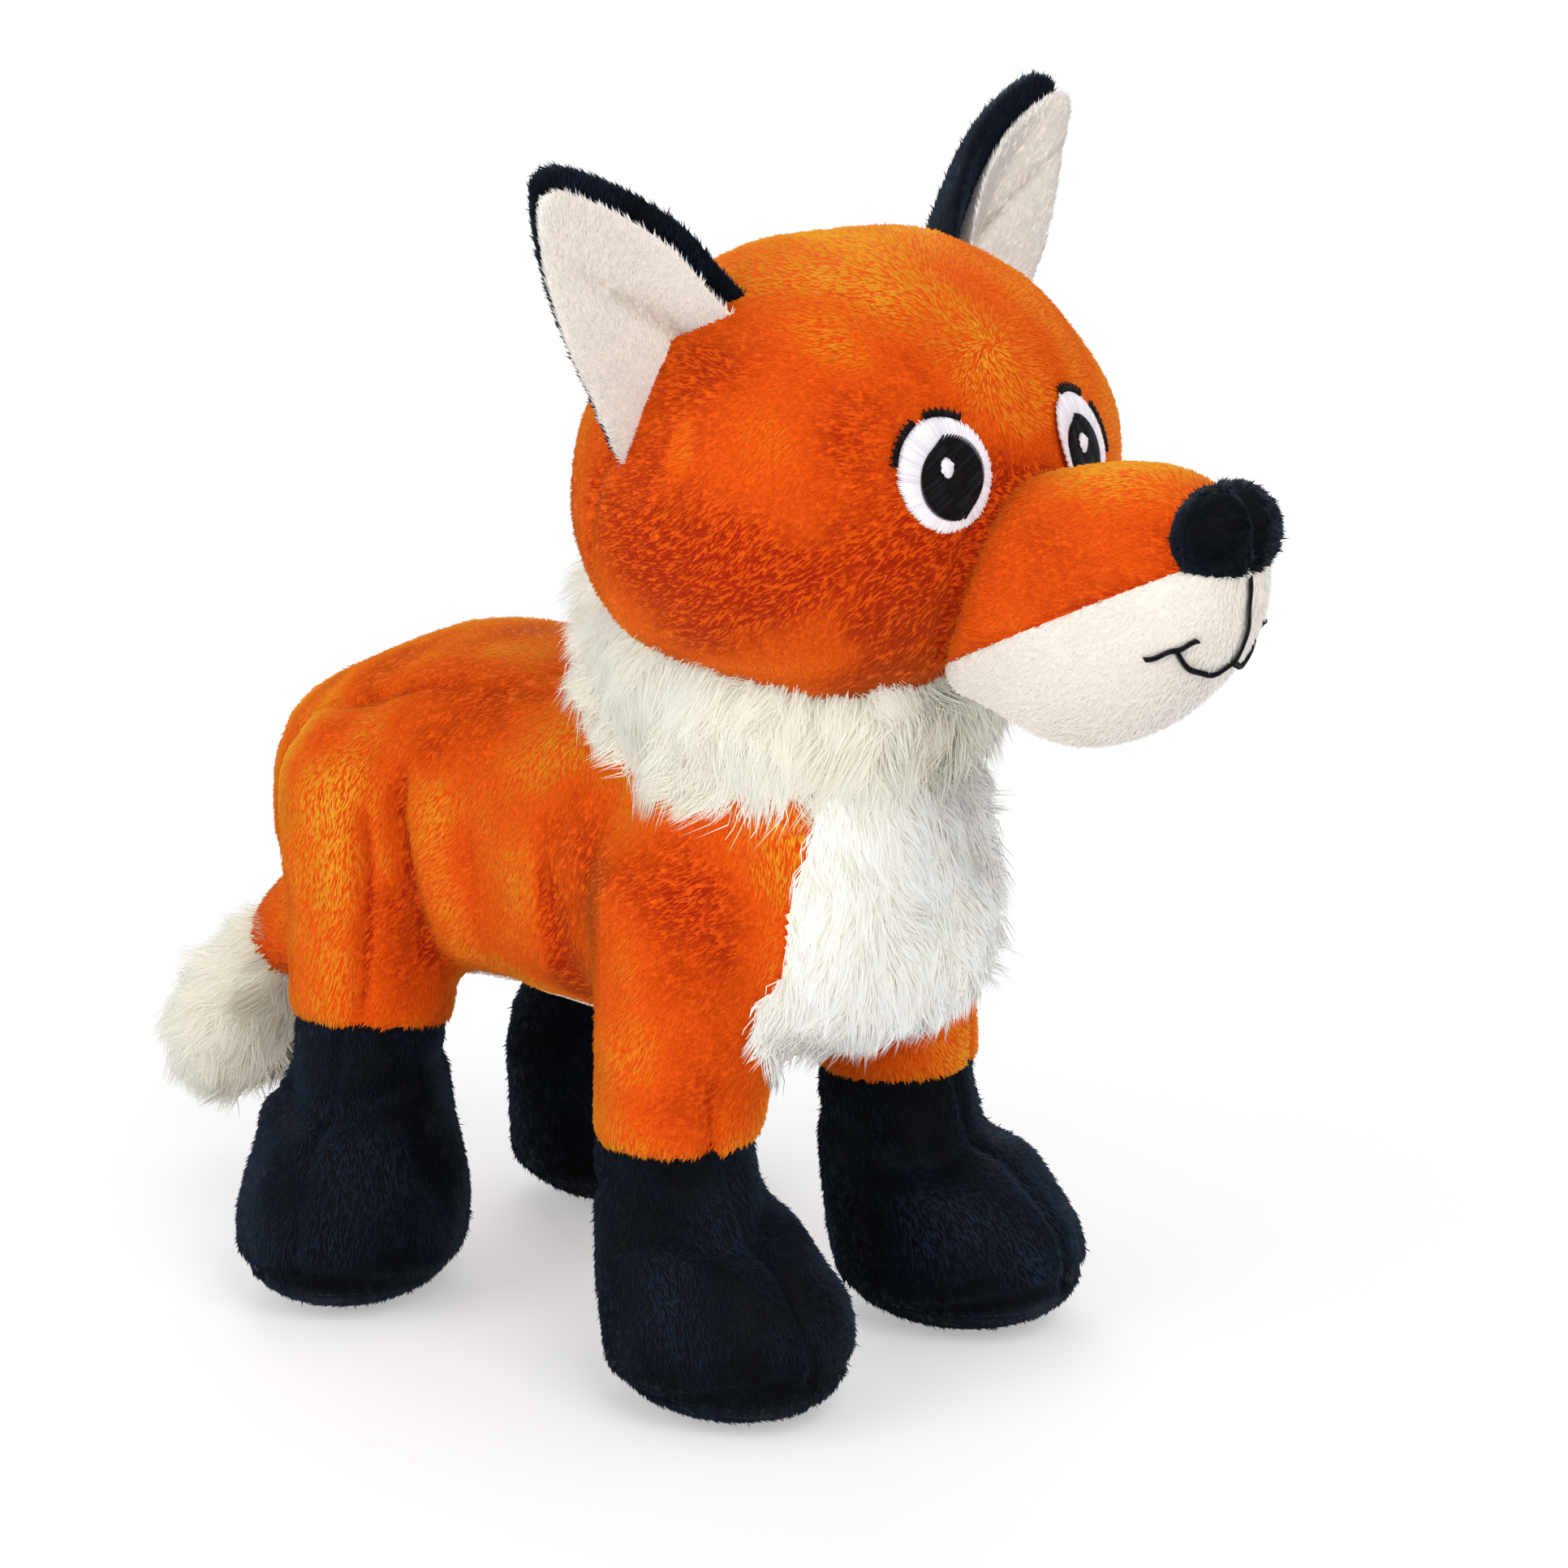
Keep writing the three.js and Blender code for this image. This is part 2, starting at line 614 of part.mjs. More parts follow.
for (const [name, side] of [['right', -1], ['left', 1]]) {
  const outward = point(side * Math.sin(eyeTurn), -Math.cos(eyeTurn), 0);
  const flat = upZ.clone().cross(outward);
  const tilt = side * eyeTilt;
  const sideways = flat.clone().multiplyScalar(Math.cos(tilt)).addScaledVector(upZ, -Math.sin(tilt));
  const upward = outward.clone().cross(sideways);
  const start = point(side * eyeHalfSpacing, headMiddleY - headHalfDepth, eyeZ)
    .addScaledVector(outward, -headHalfDepth / 2);
  const patch = (outline) => prism(outline, [sideways, upward, outward], start, headHalfDepth);
  const inward = -side * pupilShift;
  const white = patch(ellipse(eyeHalfWidth, eyeHalfHeight, 0, 0))
    .subtract(patch(ellipse(pupilHalfWidth + seamGap, pupilHalfHeight + seamGap, inward, 0)));
  const pupil = patch(ellipse(pupilHalfWidth, pupilHalfHeight, inward, 0))
    .subtract(patch(ellipse(glintHalfWidth + seamGap, glintHalfHeight + seamGap, inward, glintRise)));
  const glint = patch(ellipse(glintHalfWidth, glintHalfHeight, inward, glintRise));
  const lash = side < 0
    ? patch(lashOutline())
    : patch(lashOutline().map((place) => new THREE.Vector2(-place.x, place.y)).reverse());
  fox.add(piece(`eye_white_${name}`, largest(stitchLayer.intersect(white)), whiteThread));
  fox.add(piece(`eye_pupil_${name}`, largest(stitchLayer.intersect(pupil)), blackThread));
  fox.add(piece(`eye_glint_${name}`, largest(stitchLayer.intersect(glint)), whiteThread));
  fox.add(piece(`eyelash_${name}`, largest(stitchLayer.intersect(lash)), blackThread));
}

// Ruff: a thick collar of long pile that is sewn to the head and rests on the shoulders
const ruffForm = {
  from: point(0, ruffMiddleY, ruffBottomZ),
  to: point(0, ruffMiddleY, ruffTopZ),
  across: ruffHalfWidth,
  upright: ruffHalfWidth,
  sideways: acrossX,
  shares: ruffShares,
  blunt: ruffBluntShare,
  sides: bodySides,
  rings: limbRings,
};
const ruffLower = prism(
  [
    new THREE.Vector2(-reach, ruffEdgeZ + ruffEdgeRise * (-reach - neckPivotY) / shoulderRadius),
    new THREE.Vector2(reach, ruffEdgeZ + ruffEdgeRise * (reach - neckPivotY) / shoulderRadius),
    new THREE.Vector2(reach, -reach),
    new THREE.Vector2(-reach, -reach),
  ].reverse(),
  [alongY, upZ, acrossX],
  point(-reach, 0, 0),
  reach * 2,
);
const turnLimits = [-headTurnLimit, -headTurnLimit / 2, headTurnLimit / 2, headTurnLimit];
const turning = swept(swell(torso, -ruffGap), neckPivot, upZ, turnLimits);
const headWay = swept(turning, neckPivot, acrossX, [-headNodLimit, headNodLimit]);
const ruff = swell(ruffForm).subtract(headGrown).subtract(swell(muzzle, -seamGap))
  .subtract(neckBowl).subtract(ruffLower).subtract(headWay);
fox.add(piece('ruff', largest(ruff), creamPile));

// Ears: a black back and a cream lining, cupped and sewn along a slanting foot
const earFoot = earFootFront.clone().add(earFootRear).multiplyScalar(0.5);
const earUp = earTip.clone().sub(earFoot).normalize();
const earAcross = earFootRear.clone().sub(earFootFront).normalize();
const earFace = earUp.clone().cross(earAcross).normalize();
const earSheet = (thickness, rim, shift) => ({
  from: earFoot.clone().addScaledVector(earUp, -earSink).addScaledVector(earFace, shift + earCup),
  to: earTip.clone().addScaledVector(earUp, -rim).addScaledVector(earFace, shift),
  across: earHalfWidth - rim,
  upright: thickness / 2,
  sideways: earAcross,
  turnTo: point(Math.cos(earTopSlope), 0, -Math.sin(earTopSlope)),
  bend: earBow,
  shares: earShares,
  blunt: earBluntShare,
  cup: -earCup,
  sides: smallSides + 2,
  rings: smallRings + 2,
});
const liningShift = -(earBackThickness + earLiningThickness) / 2 - seamGap;
const earClearance = swept(swell(head, -earGap), earFoot, earAcross, [-earFoldLimit, earFoldLimit]);
const earBack = swell(earSheet(earBackThickness, 0, 0)).subtract(earClearance);
const earLining = swell(earSheet(earLiningThickness, earRim, liningShift)).subtract(earClearance);
for (const [name, turn] of [['left', (solid) => solid], ['right', (solid) => mirrored(solid)]]) {
  fox.add(piece(`ear_back_${name}`, largest(turn(earBack)), blackPlush));
  fox.add(piece(`ear_lining_${name}`, largest(turn(earLining)), creamPlush));
}

/** The mirror image of a solid across the middle plane. */
function mirrored(solid) {
  const geometry = toGeometry(solid).applyMatrix4(mirrorX);
  const turns = geometry.index.array;
  for (let i = 0; i < turns.length; i += 3) [turns[i], turns[i + 1]] = [turns[i + 1], turns[i]];
  return toSolid(geometry);
}

// Tail: an orange root on a ball at the rump, then a tip of long cream pile on a second ball
const rootAlong = tailBend.clone().sub(tailPivot).normalize();
const tipAlong = tailTip.clone().sub(tailBend).normalize();
const tailRoot = {
  from: tailPivot.clone().addScaledVector(rootAlong, -tailRootRadius),
  to: tailBend.clone(),
  across: tailRootRadius,
  upright: tailRootRadius,
  sideways: acrossX,
  shares: tailRootShares,
  blunt: tailRootBluntShare,
  sides: smallSides,
  rings: limbRings,
};
const tailTuft = {
  from: tailBend.clone(),
  to: tailTip,
  across: tailTipRadius,
  upright: tailTipRadius,
  sideways: acrossX,
  shares: tailTipShares,
  blunt: tailTipBluntShare,
  sides: limbSides,
  rings: limbRings,
};
const rootBall = (inset) => smallBall(tailPivot, tailRootRadius - inset);
const tipBall = (inset) => smallBall(tailBend, tailBallRadius - inset);
const rootMouth = smallBall(tailPivot.clone().addScaledVector(rootAlong, -tailRootRadius), tailOpening);
const tipMouth = smallBall(tailBend.clone().addScaledVector(tipAlong, -tailBallRadius), tailOpening);
const rootForm = (inset) => swell(tailRoot, inset).add(rootBall(inset)).subtract(tipBall(-jointGap));
const tipForm = (inset) => swell(tailTuft, inset).add(tipBall(inset));
const tailGap = skinThickness + seamGap;
const rootCavity = swell(tailRoot, skinThickness).add(rootBall(skinThickness));
const rootSkin = rootForm(0).subtract(rootCavity).subtract(rootMouth);
const tipSkin = tipForm(0).subtract(tipForm(skinThickness)).subtract(tipMouth);
fox.add(piece('tail_root_skin', largest(rootSkin), orangePlush));
fox.add(piece('tail_root_filling', largest(rootForm(tailGap)), stuffing));
fox.add(piece('tail_tip_skin', largest(tipSkin), creamPile));
fox.add(piece('tail_tip_filling', largest(tipForm(tailGap)), stuffing));

// The origin: under the middle of the bounding box
const box = new THREE.Box3().setFromObject(fox);
fox.position.y = -(box.min.y + box.max.y) / 2;

export default fox;
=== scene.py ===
"""A standing plush fox: stuffed cloth skins with real pile, seams and embroidery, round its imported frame.

Lengths are in metres. Each class holds its sizes in the pattern's own place, where the neck's centre lies at
NECK, and Workshop moves every finished mesh to where the frame has that centre.
"""

import json
import logging
import math
from collections.abc import Callable
from dataclasses import dataclass, field
from enum import Enum

import bpy
import numpy as np
from mathutils import Matrix

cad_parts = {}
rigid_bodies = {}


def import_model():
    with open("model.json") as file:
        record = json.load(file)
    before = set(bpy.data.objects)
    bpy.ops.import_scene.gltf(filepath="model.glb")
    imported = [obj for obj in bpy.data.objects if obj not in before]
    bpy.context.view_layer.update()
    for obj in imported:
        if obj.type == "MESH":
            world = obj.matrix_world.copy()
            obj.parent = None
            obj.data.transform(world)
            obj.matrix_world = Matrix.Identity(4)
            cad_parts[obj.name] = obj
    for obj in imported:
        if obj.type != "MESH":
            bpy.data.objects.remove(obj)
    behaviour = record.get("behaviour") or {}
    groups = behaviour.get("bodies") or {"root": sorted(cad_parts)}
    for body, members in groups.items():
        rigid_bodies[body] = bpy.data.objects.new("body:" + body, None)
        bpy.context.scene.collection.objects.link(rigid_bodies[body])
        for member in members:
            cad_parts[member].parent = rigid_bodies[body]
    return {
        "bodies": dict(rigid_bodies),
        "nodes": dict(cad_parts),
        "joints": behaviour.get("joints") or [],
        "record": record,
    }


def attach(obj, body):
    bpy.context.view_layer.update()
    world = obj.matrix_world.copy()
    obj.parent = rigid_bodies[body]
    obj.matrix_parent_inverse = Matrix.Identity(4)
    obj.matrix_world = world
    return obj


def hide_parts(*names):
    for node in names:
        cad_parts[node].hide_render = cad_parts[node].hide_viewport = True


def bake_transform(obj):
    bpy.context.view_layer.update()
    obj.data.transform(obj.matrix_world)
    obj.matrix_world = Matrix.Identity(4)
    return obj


log = logging.getLogger("fox")

MM = 0.001
X = np.array([1.0, 0.0, 0.0])
Y = np.array([0.0, 1.0, 0.0])
Z = np.array([0.0, 0.0, 1.0])
NECK = np.array([0.0, -45.0, 132.0]) * MM
UV_NAME = "OFBake"
Level = Callable[[np.ndarray], np.ndarray]  # from places to one value at each
ROUNDNESS = 0.35  # how much of a fibre's own roundness its shading shows, beside the cloth's
WAVES = 12  # how many waves a mottle adds up
WAVE_GAIN = 2.4  # brings their mean to about -1 to 1
DRAW_IN, PUSH_OUT = 0.5, -0.46  # the two halves of a round of smoothing
EDGE = 0.5 * MM  # half the width of a patch's soft edge
SIDES = ("right", -1.0), ("left", 1.0)  # each side's name and sign


class Slot(Enum):
    """The record's material slots."""

    ORANGE = "orange_plush"
    CREAM_PILE = "cream_pile"
    CREAM = "cream_plush"
    BLACK = "black_plush"
    WHITE_THREAD = "white_thread"
    BLACK_THREAD = "black_thread"
    STUFFING = "stuffing"


class Body(Enum):
    """The frame's bodies."""

    TORSO = "torso"
    NECK = "neck"
    HEAD = "head"
    EAR_RIGHT = "ear_right"
    EAR_LEFT = "ear_left"
    TAIL_ROOT = "tail_root"
    TAIL_TIP = "tail_tip"


def millimetres(*values: float) -> np.ndarray:
    """The default of a dataclass's field: a place or sizes, given in millimetres."""
    return field(default_factory=lambda: np.array(values) * MM)


def unit(vectors: np.ndarray) -> np.ndarray:
    """Scales each vector to length 1.

    Args:
        vectors: Any array whose last axis is x, y, z.

    Returns:
        An array of the same shape.
    """
    size = np.linalg.norm(vectors, axis=-1, keepdims=True)
    return vectors / np.maximum(size, 1e-12)


def smoothstep(low: float, high: float, value: np.ndarray) -> np.ndarray:
    """The smooth rise from 0 at low to 1 at high: 3 t squared less 2 t cubed."""
    t = np.clip((value - low) / (high - low), 0.0, 1.0)
    return t * t * (3.0 - 2.0 * t)


def rising(low: float, high: float, value: np.ndarray) -> np.ndarray:
    """The smooth rise between two distances in millimetres."""
    return smoothstep(low * MM, high * MM, value)


def falling(low: float, high: float, value: np.ndarray) -> np.ndarray:
    """The smooth fall, from 1 to 0, between two distances in millimetres."""
    return 1 - rising(low, high, value)


def parted(x: np.ndarray, low: float, high: float) -> np.ndarray:
    """From -1 on the right to 1 on the left: 0 in the middle, and rising between two distances from it."""
    return np.sign(x) * smoothstep(low, high, np.abs(x))


def groove(distance: np.ndarray, width: float) -> np.ndarray:
    """A bell that is 1 on a line and fades with the distance from it, over the width."""
    return np.exp(-((distance / width) ** 2))


def bell(value: np.ndarray, width: float, place: float = 0.0) -> np.ndarray:
    """The same bell, 1 where the value is at a place, with width and place in millimetres."""
    return groove(value - place * MM, width * MM)


def catmull(rows: np.ndarray, share: np.ndarray) -> np.ndarray:
    """Smooth values between evenly spaced rows, by a Catmull-Rom curve.

    Args:
        rows: One row of values for each station.
        share: Places along the rows, from 0 to 1.

    Returns:
        The values at each place, with one more axis than share.
    """
    padded = np.vstack([2 * rows[:1] - rows[1:2], rows, 2 * rows[-1:] - rows[-2:-1]])
    place = np.clip(share, 0.0, 1.0) * (len(rows) - 1)
    index = np.minimum(place.astype(int), len(rows) - 2)
    t = (place - index)[..., None]
    before, here, there, after = (padded[index + k] for k in range(4))
    slope_here = (there - before) / 2
    slope_there = (after - here) / 2
    return (
        (2 * t**3 - 3 * t**2 + 1) * here
        + (t**3 - 2 * t**2 + t) * slope_here
        + (3 * t**2 - 2 * t**3) * there
        + (t**3 - t**2) * slope_there
    )


def mottle(points: np.ndarray, size: float, seed: int) -> np.ndarray:
    """Soft patches: the mean of several waves with random directions and lengths round a size.

    Args:
        points: Places, in metres.
        size: The usual size of a patch, in metres.
        seed: Starts the random draws.

    Returns:
        A value from about -1 to 1 at each place.
    """
    rng = np.random.default_rng(seed)
    ways = unit(rng.normal(size=(WAVES, 3))) * (2 * math.pi / (size * rng.uniform(0.7, 2.2, (WAVES, 1))))
    phases = rng.uniform(0, 2 * math.pi, WAVES)
    return np.sin(points @ ways.T + phases).mean(axis=-1) * WAVE_GAIN


@dataclass
class Skin:
    """A triangle mesh held as arrays.

    Attributes:
        points: Vertex places, n by 3.
        faces: Vertex numbers of each triangle, m by 3.
        uv: A texture place for each vertex, or None.
        shade: A normal for each vertex to shade by, or None for the mesh's own.
    """

    points: np.ndarray
    faces: np.ndarray
    uv: np.ndarray | None = None
    shade: np.ndarray | None = None

    def lie(self, way: np.ndarray) -> np.ndarray:
        """The same direction at every vertex."""
        return np.tile(way, (len(self.points), 1))

    def corners(self) -> tuple[np.ndarray, np.ndarray, np.ndarray]:
        """The first, second and third corner of every triangle."""
        return tuple(self.points[self.faces[:, k]] for k in range(3))

    def centres(self) -> np.ndarray:
        """The middle of every triangle."""
        return self.points[self.faces].mean(axis=1)

    def crosses(self) -> np.ndarray:
        """For every triangle, its normal times twice its area."""
        a, b, c = self.corners()
        return np.cross(b - a, c - a)

    def normals(self) -> np.ndarray:
        """A unit normal at every vertex, weighted by area."""
        total = np.zeros_like(self.points)
        cross = self.crosses()
        for k in range(3):
            for axis in range(3):
                total[:, axis] += np.bincount(self.faces[:, k], cross[:, axis], len(self.points))
        return unit(total)

    def outward(self) -> "Skin":
        """The same skin with its faces turned outwards, judged by its signed volume."""
        a, b, c = self.corners()
        if np.einsum("ij,ij->i", a, np.cross(b, c)).sum() < 0:
            return Skin(self.points, self.faces[:, ::-1], self.uv)
        return self

    def raised(self, height: np.ndarray | float) -> "Skin":
        """The skin moved along its own normals by a height at each vertex."""
        rise = np.broadcast_to(np.asarray(height, float), (len(self.points),))
        return Skin(self.points + self.normals() * rise[:, None], self.faces, self.uv)

    def smoothed(self, rounds: int, weight: np.ndarray | float = 1.0) -> "Skin":
        """The skin with each point drawn to its neighbours' mean, then pushed back a little less.

        Args:
            rounds: How many times.
            weight: How much each vertex takes part, from 0 to 1.
        """
        edges = np.vstack([self.faces[:, [0, 1]], self.faces[:, [1, 2]], self.faces[:, [2, 0]]])
        edges = np.unique(np.sort(edges, axis=1), axis=0)
        ends = np.concatenate([edges, edges[:, ::-1]])
        count = np.maximum(np.bincount(ends[:, 0], minlength=len(self.points)), 1)
        share = np.broadcast_to(np.asarray(weight, float), (len(self.points),))[:, None]
        points = self.points.copy()
        for step in [DRAW_IN, PUSH_OUT] * rounds:
            sums = [np.bincount(ends[:, 0], points[ends[:, 1], k], len(points)) for k in range(3)]
            mean = np.stack(sums, axis=1) / count[:, None]
            points = points + step * share * (mean - points)
        return Skin(points, self.faces, self.uv)

    def part(self, keep: np.ndarray) -> "Skin":
        """The triangles that keep marks, with only their own vertices."""
        faces = self.faces[keep]
        used, numbers = np.unique(faces, return_inverse=True)
        uv = None if self.uv is None else self.uv[used]
        return Skin(self.points[used], numbers.reshape(faces.shape), uv)

    def trimmed(self, level: Level) -> "Skin":
        """The part where a level is above zero, with its border drawn onto the line where the level is zero.

        Args:
            level: From places to a signed distance, above zero inside.
        """
        patch = self.part(level(self.centres()) > 0)
        edges = np.sort(np.vstack([patch.faces[:, pair] for pair in ([0, 1], [1, 2], [2, 0])]), axis=1)
        pairs, uses = np.unique(edges, axis=0, return_counts=True)
        border = np.unique(pairs[uses == 1])
        probe, flattest, stride, reach, rounds = 0.05 * MM, 0.05, 2.5 * MM, 4 * MM, 4
        place = patch.points[border]
        for _ in range(rounds):
            rises = [level(place + way * probe) - level(place - way * probe) for way in (X, Y, Z)]
            slope = np.stack(rises, axis=1) / (2 * probe)
            size = np.maximum((slope**2).sum(axis=1), flattest)
            move = np.clip(level(place) / size, -stride, stride)
            place = place - slope * move[:, None]
        points = patch.points.copy()
        near = np.linalg.norm(place - points[border], axis=1) < reach
        points[border[near]] = place[near]
        return Skin(points, patch.faces, patch.uv)

    def thick(self, depth: float) -> "Skin":
        """The open skin as a closed cloth: its own copy below it, and a wall along every border."""
        edges = np.vstack([self.faces[:, pair] for pair in ([0, 1], [1, 2], [2, 0])])
        count = len(self.points)
        keys, turned = edges[:, 0] * count + edges[:, 1], edges[:, 1] * count + edges[:, 0]
        first, second = edges[~np.isin(keys, turned)].T
        walls = [(second, first, first + count), (second, first + count, second + count)]
        walls = np.vstack([np.stack(wall, axis=1) for wall in walls])
        below = self.points - self.normals() * depth
        faces = np.vstack([self.faces, self.faces[:, ::-1] + count, walls])
        return Skin(np.vstack([self.points, below]), faces)

    def sample(
        self, count: int, weight: np.ndarray, rng: np.random.Generator
    ) -> tuple[np.ndarray, np.ndarray]:
        """Random places spread evenly over the skin.

        Args:
            count: How many.
            weight: How likely each triangle is, per area.
            rng: The source of random numbers.

        Returns:
            The places and the unit normals there.
        """
        areas = np.linalg.norm(self.crosses(), axis=1) * weight
        total = np.cumsum(areas)
        chosen = np.searchsorted(total, rng.uniform(0, total[-1], count))
        chosen = np.minimum(chosen, len(areas) - 1)
        u, v = np.sqrt(rng.uniform(size=count)), rng.uniform(size=count)
        shares = np.stack([1 - u, u * (1 - v), u * v], axis=1)[:, :, None]
        corners = self.faces[chosen]
        normals = self.normals()
        return (self.points[corners] * shares).sum(axis=1), unit((normals[corners] * shares).sum(axis=1))


def together(skins: list[Skin]) -> Skin:
    """Several skins as one, without joining their surfaces."""
    starts = np.cumsum([0] + [len(skin.points) for skin in skins[:-1]])
    uv = None if any(skin.uv is None for skin in skins) else np.vstack([skin.uv for skin in skins])
    points = np.vstack([skin.points for skin in skins])
    return Skin(points, np.vstack([skin.faces + start for skin, start in zip(skins, starts)]), uv)


def linked(name: str, data: bpy.types.ID) -> bpy.types.Object:
    """A new object of some data, linked to the scene."""
    obj = bpy.data.objects.new(name, data)
    bpy.context.scene.collection.objects.link(obj)
    return obj


def melted(forms: list[Skin], voxel: float) -> Skin:
    """Joins closed forms into one skin with a voxel remesh.

    Args:
        forms: Closed skins that overlap.
        voxel: The size of a voxel, in metres.
    """
    source = together(forms)
    mesh = bpy.data.meshes.new("forms")
    mesh.from_pydata(source.points.tolist(), [], source.faces.tolist())
    holder = linked("forms", mesh)
    remesh = holder.modifiers.new("join", "REMESH")
    remesh.mode = "VOXEL"
    remesh.voxel_size = voxel
    result = bpy.data.meshes.new_from_object(holder.evaluated_get(bpy.context.evaluated_depsgraph_get()))
    result.calc_loop_triangles()
    points = np.empty(len(result.vertices) * 3)
    result.vertices.foreach_get("co", points)
    faces = np.empty(len(result.loop_triangles) * 3, int)
    result.loop_triangles.foreach_get("vertices", faces)
    bpy.data.objects.remove(holder)
    bpy.data.meshes.remove(mesh)
    bpy.data.meshes.remove(result)
    return Skin(points.reshape(-1, 3), faces.reshape(-1, 3)).outward()


@dataclass
class Swell:
    """A closed form that swells and tapers along a line, the shape of the frame's soft solids.

    Attributes:
        start: Where the form begins.
        end: Where the form ends.
        across: Half its width, along sideways.
        upright: Half its height, square to that.
        sideways: The direction of its width.
        shares: A row of width, height and bend shares at each station.
        blunt: How soon the ends reach full width: small is blunter.
        square: How square a cross-section is: 1 is an ellipse, less is squarer.
        bend: How far a bend share of 1 moves a station.
        cup: How far the side edges are lifted.
        valley: Where across, from -1 to 1, the cup is deepest.
        fold: How sharp the cup is there: 1 is round, and less is a crease.
        cupped: The half width that the cup is measured by, or 0 for the form's own.
        turn_to: The direction of the width at the end, if it twists.
        crowding: Above 1, the rings crowd towards the end.
    """

    start: np.ndarray
    end: np.ndarray
    across: float
    upright: float
    sideways: np.ndarray
    shares: list[tuple[float, float, float]]
    blunt: float
    square: float = 1.0
    bend: np.ndarray = field(default_factory=lambda: np.zeros(3))
    cup: float = 0.0
    valley: float = 0.0
    fold: float = 1.0
    cupped: float = 0.0
    turn_to: np.ndarray | None = None
    crowding: float = 1.0

    def surface(self, share: np.ndarray, angle: np.ndarray, rise: float = 0.0) -> np.ndarray:
        """Places on the form.

        The centre moves evenly from start to end, plus the bend. Round it lies a superellipse whose radii
        are the shares of across and upright, times the ring: (1 - (1 - 2 share) squared) to half the blunt.

        Args:
            share: How far along, from 0 to 1.
            angle: How far round, in radians.
            rise: How far outside the form.
        """
        along = unit(self.end - self.start)
        turn_to = self.sideways if self.turn_to is None else self.turn_to
        twist = np.sqrt(share)[..., None]
        aside = unit(self.sideways * (1 - twist) + turn_to * twist)
        over = unit(np.cross(np.broadcast_to(along, aside.shape), aside))
        row = catmull(np.array(self.shares), share)
        ring = np.sqrt(np.clip(1 - (1 - 2 * share) ** 2, 0, None)) ** self.blunt
        wave, lift = np.cos(angle), np.sin(angle)
        side = np.sign(wave) * np.abs(wave) ** self.square * (self.across * row[..., 0] + rise) * ring
        height = np.sign(lift) * np.abs(lift) ** self.square * (self.upright * row[..., 1] + rise) * ring
        local = row[..., 0] * np.maximum(ring, 1e-6)
        turn = side / ((self.cupped or self.across) * local)
        away = np.abs(turn - self.valley) / np.where(turn > self.valley, 1 - self.valley, 1 + self.valley)
        height = height + self.cup * (local * away**self.fold) ** 2
        start, end = self.start - along * rise, self.end + along * rise
        centre = start + (end - start) * share[..., None] + self.bend * row[..., 2:3]
        return centre + aside * side[..., None] + over * height[..., None]

    def skin(self, rings: int, sides: int, rise: float = 0.0) -> Skin:
        """A closed skin of the form, from a grid of rings and sides with a pole at each end."""
        turns = np.arange(1, rings) / rings
        share = 1 - ((1 + np.cos(math.pi * turns)) / 2) ** self.crowding
        angle = np.arange(sides) * 2 * math.pi / sides
        grid = self.surface(*np.broadcast_arrays(share[:, None], angle[None, :]), rise)
        poles = self.surface(np.array([0.0, 1.0]), np.zeros(2), rise)
        points = np.vstack([poles[:1], grid.reshape(-1, 3), poles[1:]])
        number = 1 + np.arange((rings - 1) * sides).reshape(rings - 1, sides)
        near, far = number[:-1], number[1:]
        next_near, next_far = np.roll(near, -1, axis=1), np.roll(far, -1, axis=1)
        first, last = number[0], number[-1]
        faces = [
            np.stack([near, next_near, next_far], axis=-1).reshape(-1, 3),
            np.stack([near, next_far, far], axis=-1).reshape(-1, 3),
            np.stack([np.zeros(sides, int), np.roll(first, -1), first], axis=-1),
            np.stack([np.full(sides, len(points) - 1), last, np.roll(last, -1)], axis=-1),
        ]
        return Skin(points, np.vstack(faces)).outward()


def round_form(
    start: np.ndarray, end: np.ndarray, radius: float, shares: tuple[float, ...], blunt: float
) -> Swell:
    """A form with a round cross-section, whose radius is scaled by a share at each station."""
    return Swell(start, end, radius, radius, X, [(share, share, 0) for share in shares], blunt)


@dataclass(frozen=True)
class Pile:
    """How a cloth's pile grows.

    Attributes:
        density: Fibres to the square millimetre.
        length: A fibre's length.
        width: Its width at the root.
        lean: From 0, upright, to 1, flat along the cloth.
        spread: How much each fibre strays.
        droop: How much the outer half bends towards the lie of the pile.
        lock: The spacing of the locks that long fibres gather in, or 0.
        pull: How strongly a lock gathers its tips.
        jointed: Whether a fibre has a bend in its middle.
        brushed: How much the lie of the pile wanders in patches.
        patch: The size of those patches.
        strays: The share of fibres that stand up from the rest.
        marks: How much lighter or darker the brushed patches are.
    """

    density: float
    length: float
    width: float
    lean: float
    spread: float
    droop: float = 0.0
    lock: float = 0.0
    pull: float = 0.0
    jointed: bool = False
    brushed: float = 0.4
    patch: float = 24 * MM
    strays: float = 0.0
    marks: float = 0.2


@dataclass(frozen=True)
class Growth:
    """What every pile has in common.

    Attributes:
        depth: How far under the cloth a fibre starts.
        lengths: The shortest and the longest fibre, as shares of the pile's length.
        widths: The same for the width.
        stray_spread: How many times further the stray fibres spread.
        stray_lean: How much less they lean.
        fine: How strong the fine patches are beside the broad ones.
        tilt: How much the lean follows the broad patches.
        noise: How much each fibre's tone strays.
        crowd: How far apart the tips in a lock stay, as a share of their roots' distances.
        hold: How much less the bends in a lock are drawn than its tips.
        blend: How much a fibre takes of the tone of its lock's leader.
    """

    quick: float = 0.25
    depth: float = 0.15 * MM
    lengths: tuple[float, float] = (0.72, 1.1)
    widths: tuple[float, float] = (0.75, 1.15)
    stray_spread: float = 2.2
    stray_lean: float = 0.72
    fine: float = 0.5
    tilt: float = 0.05
    noise: float = 0.05
    crowd: float = 0.12
    hold: float = 0.45
    blend: float = 0.25


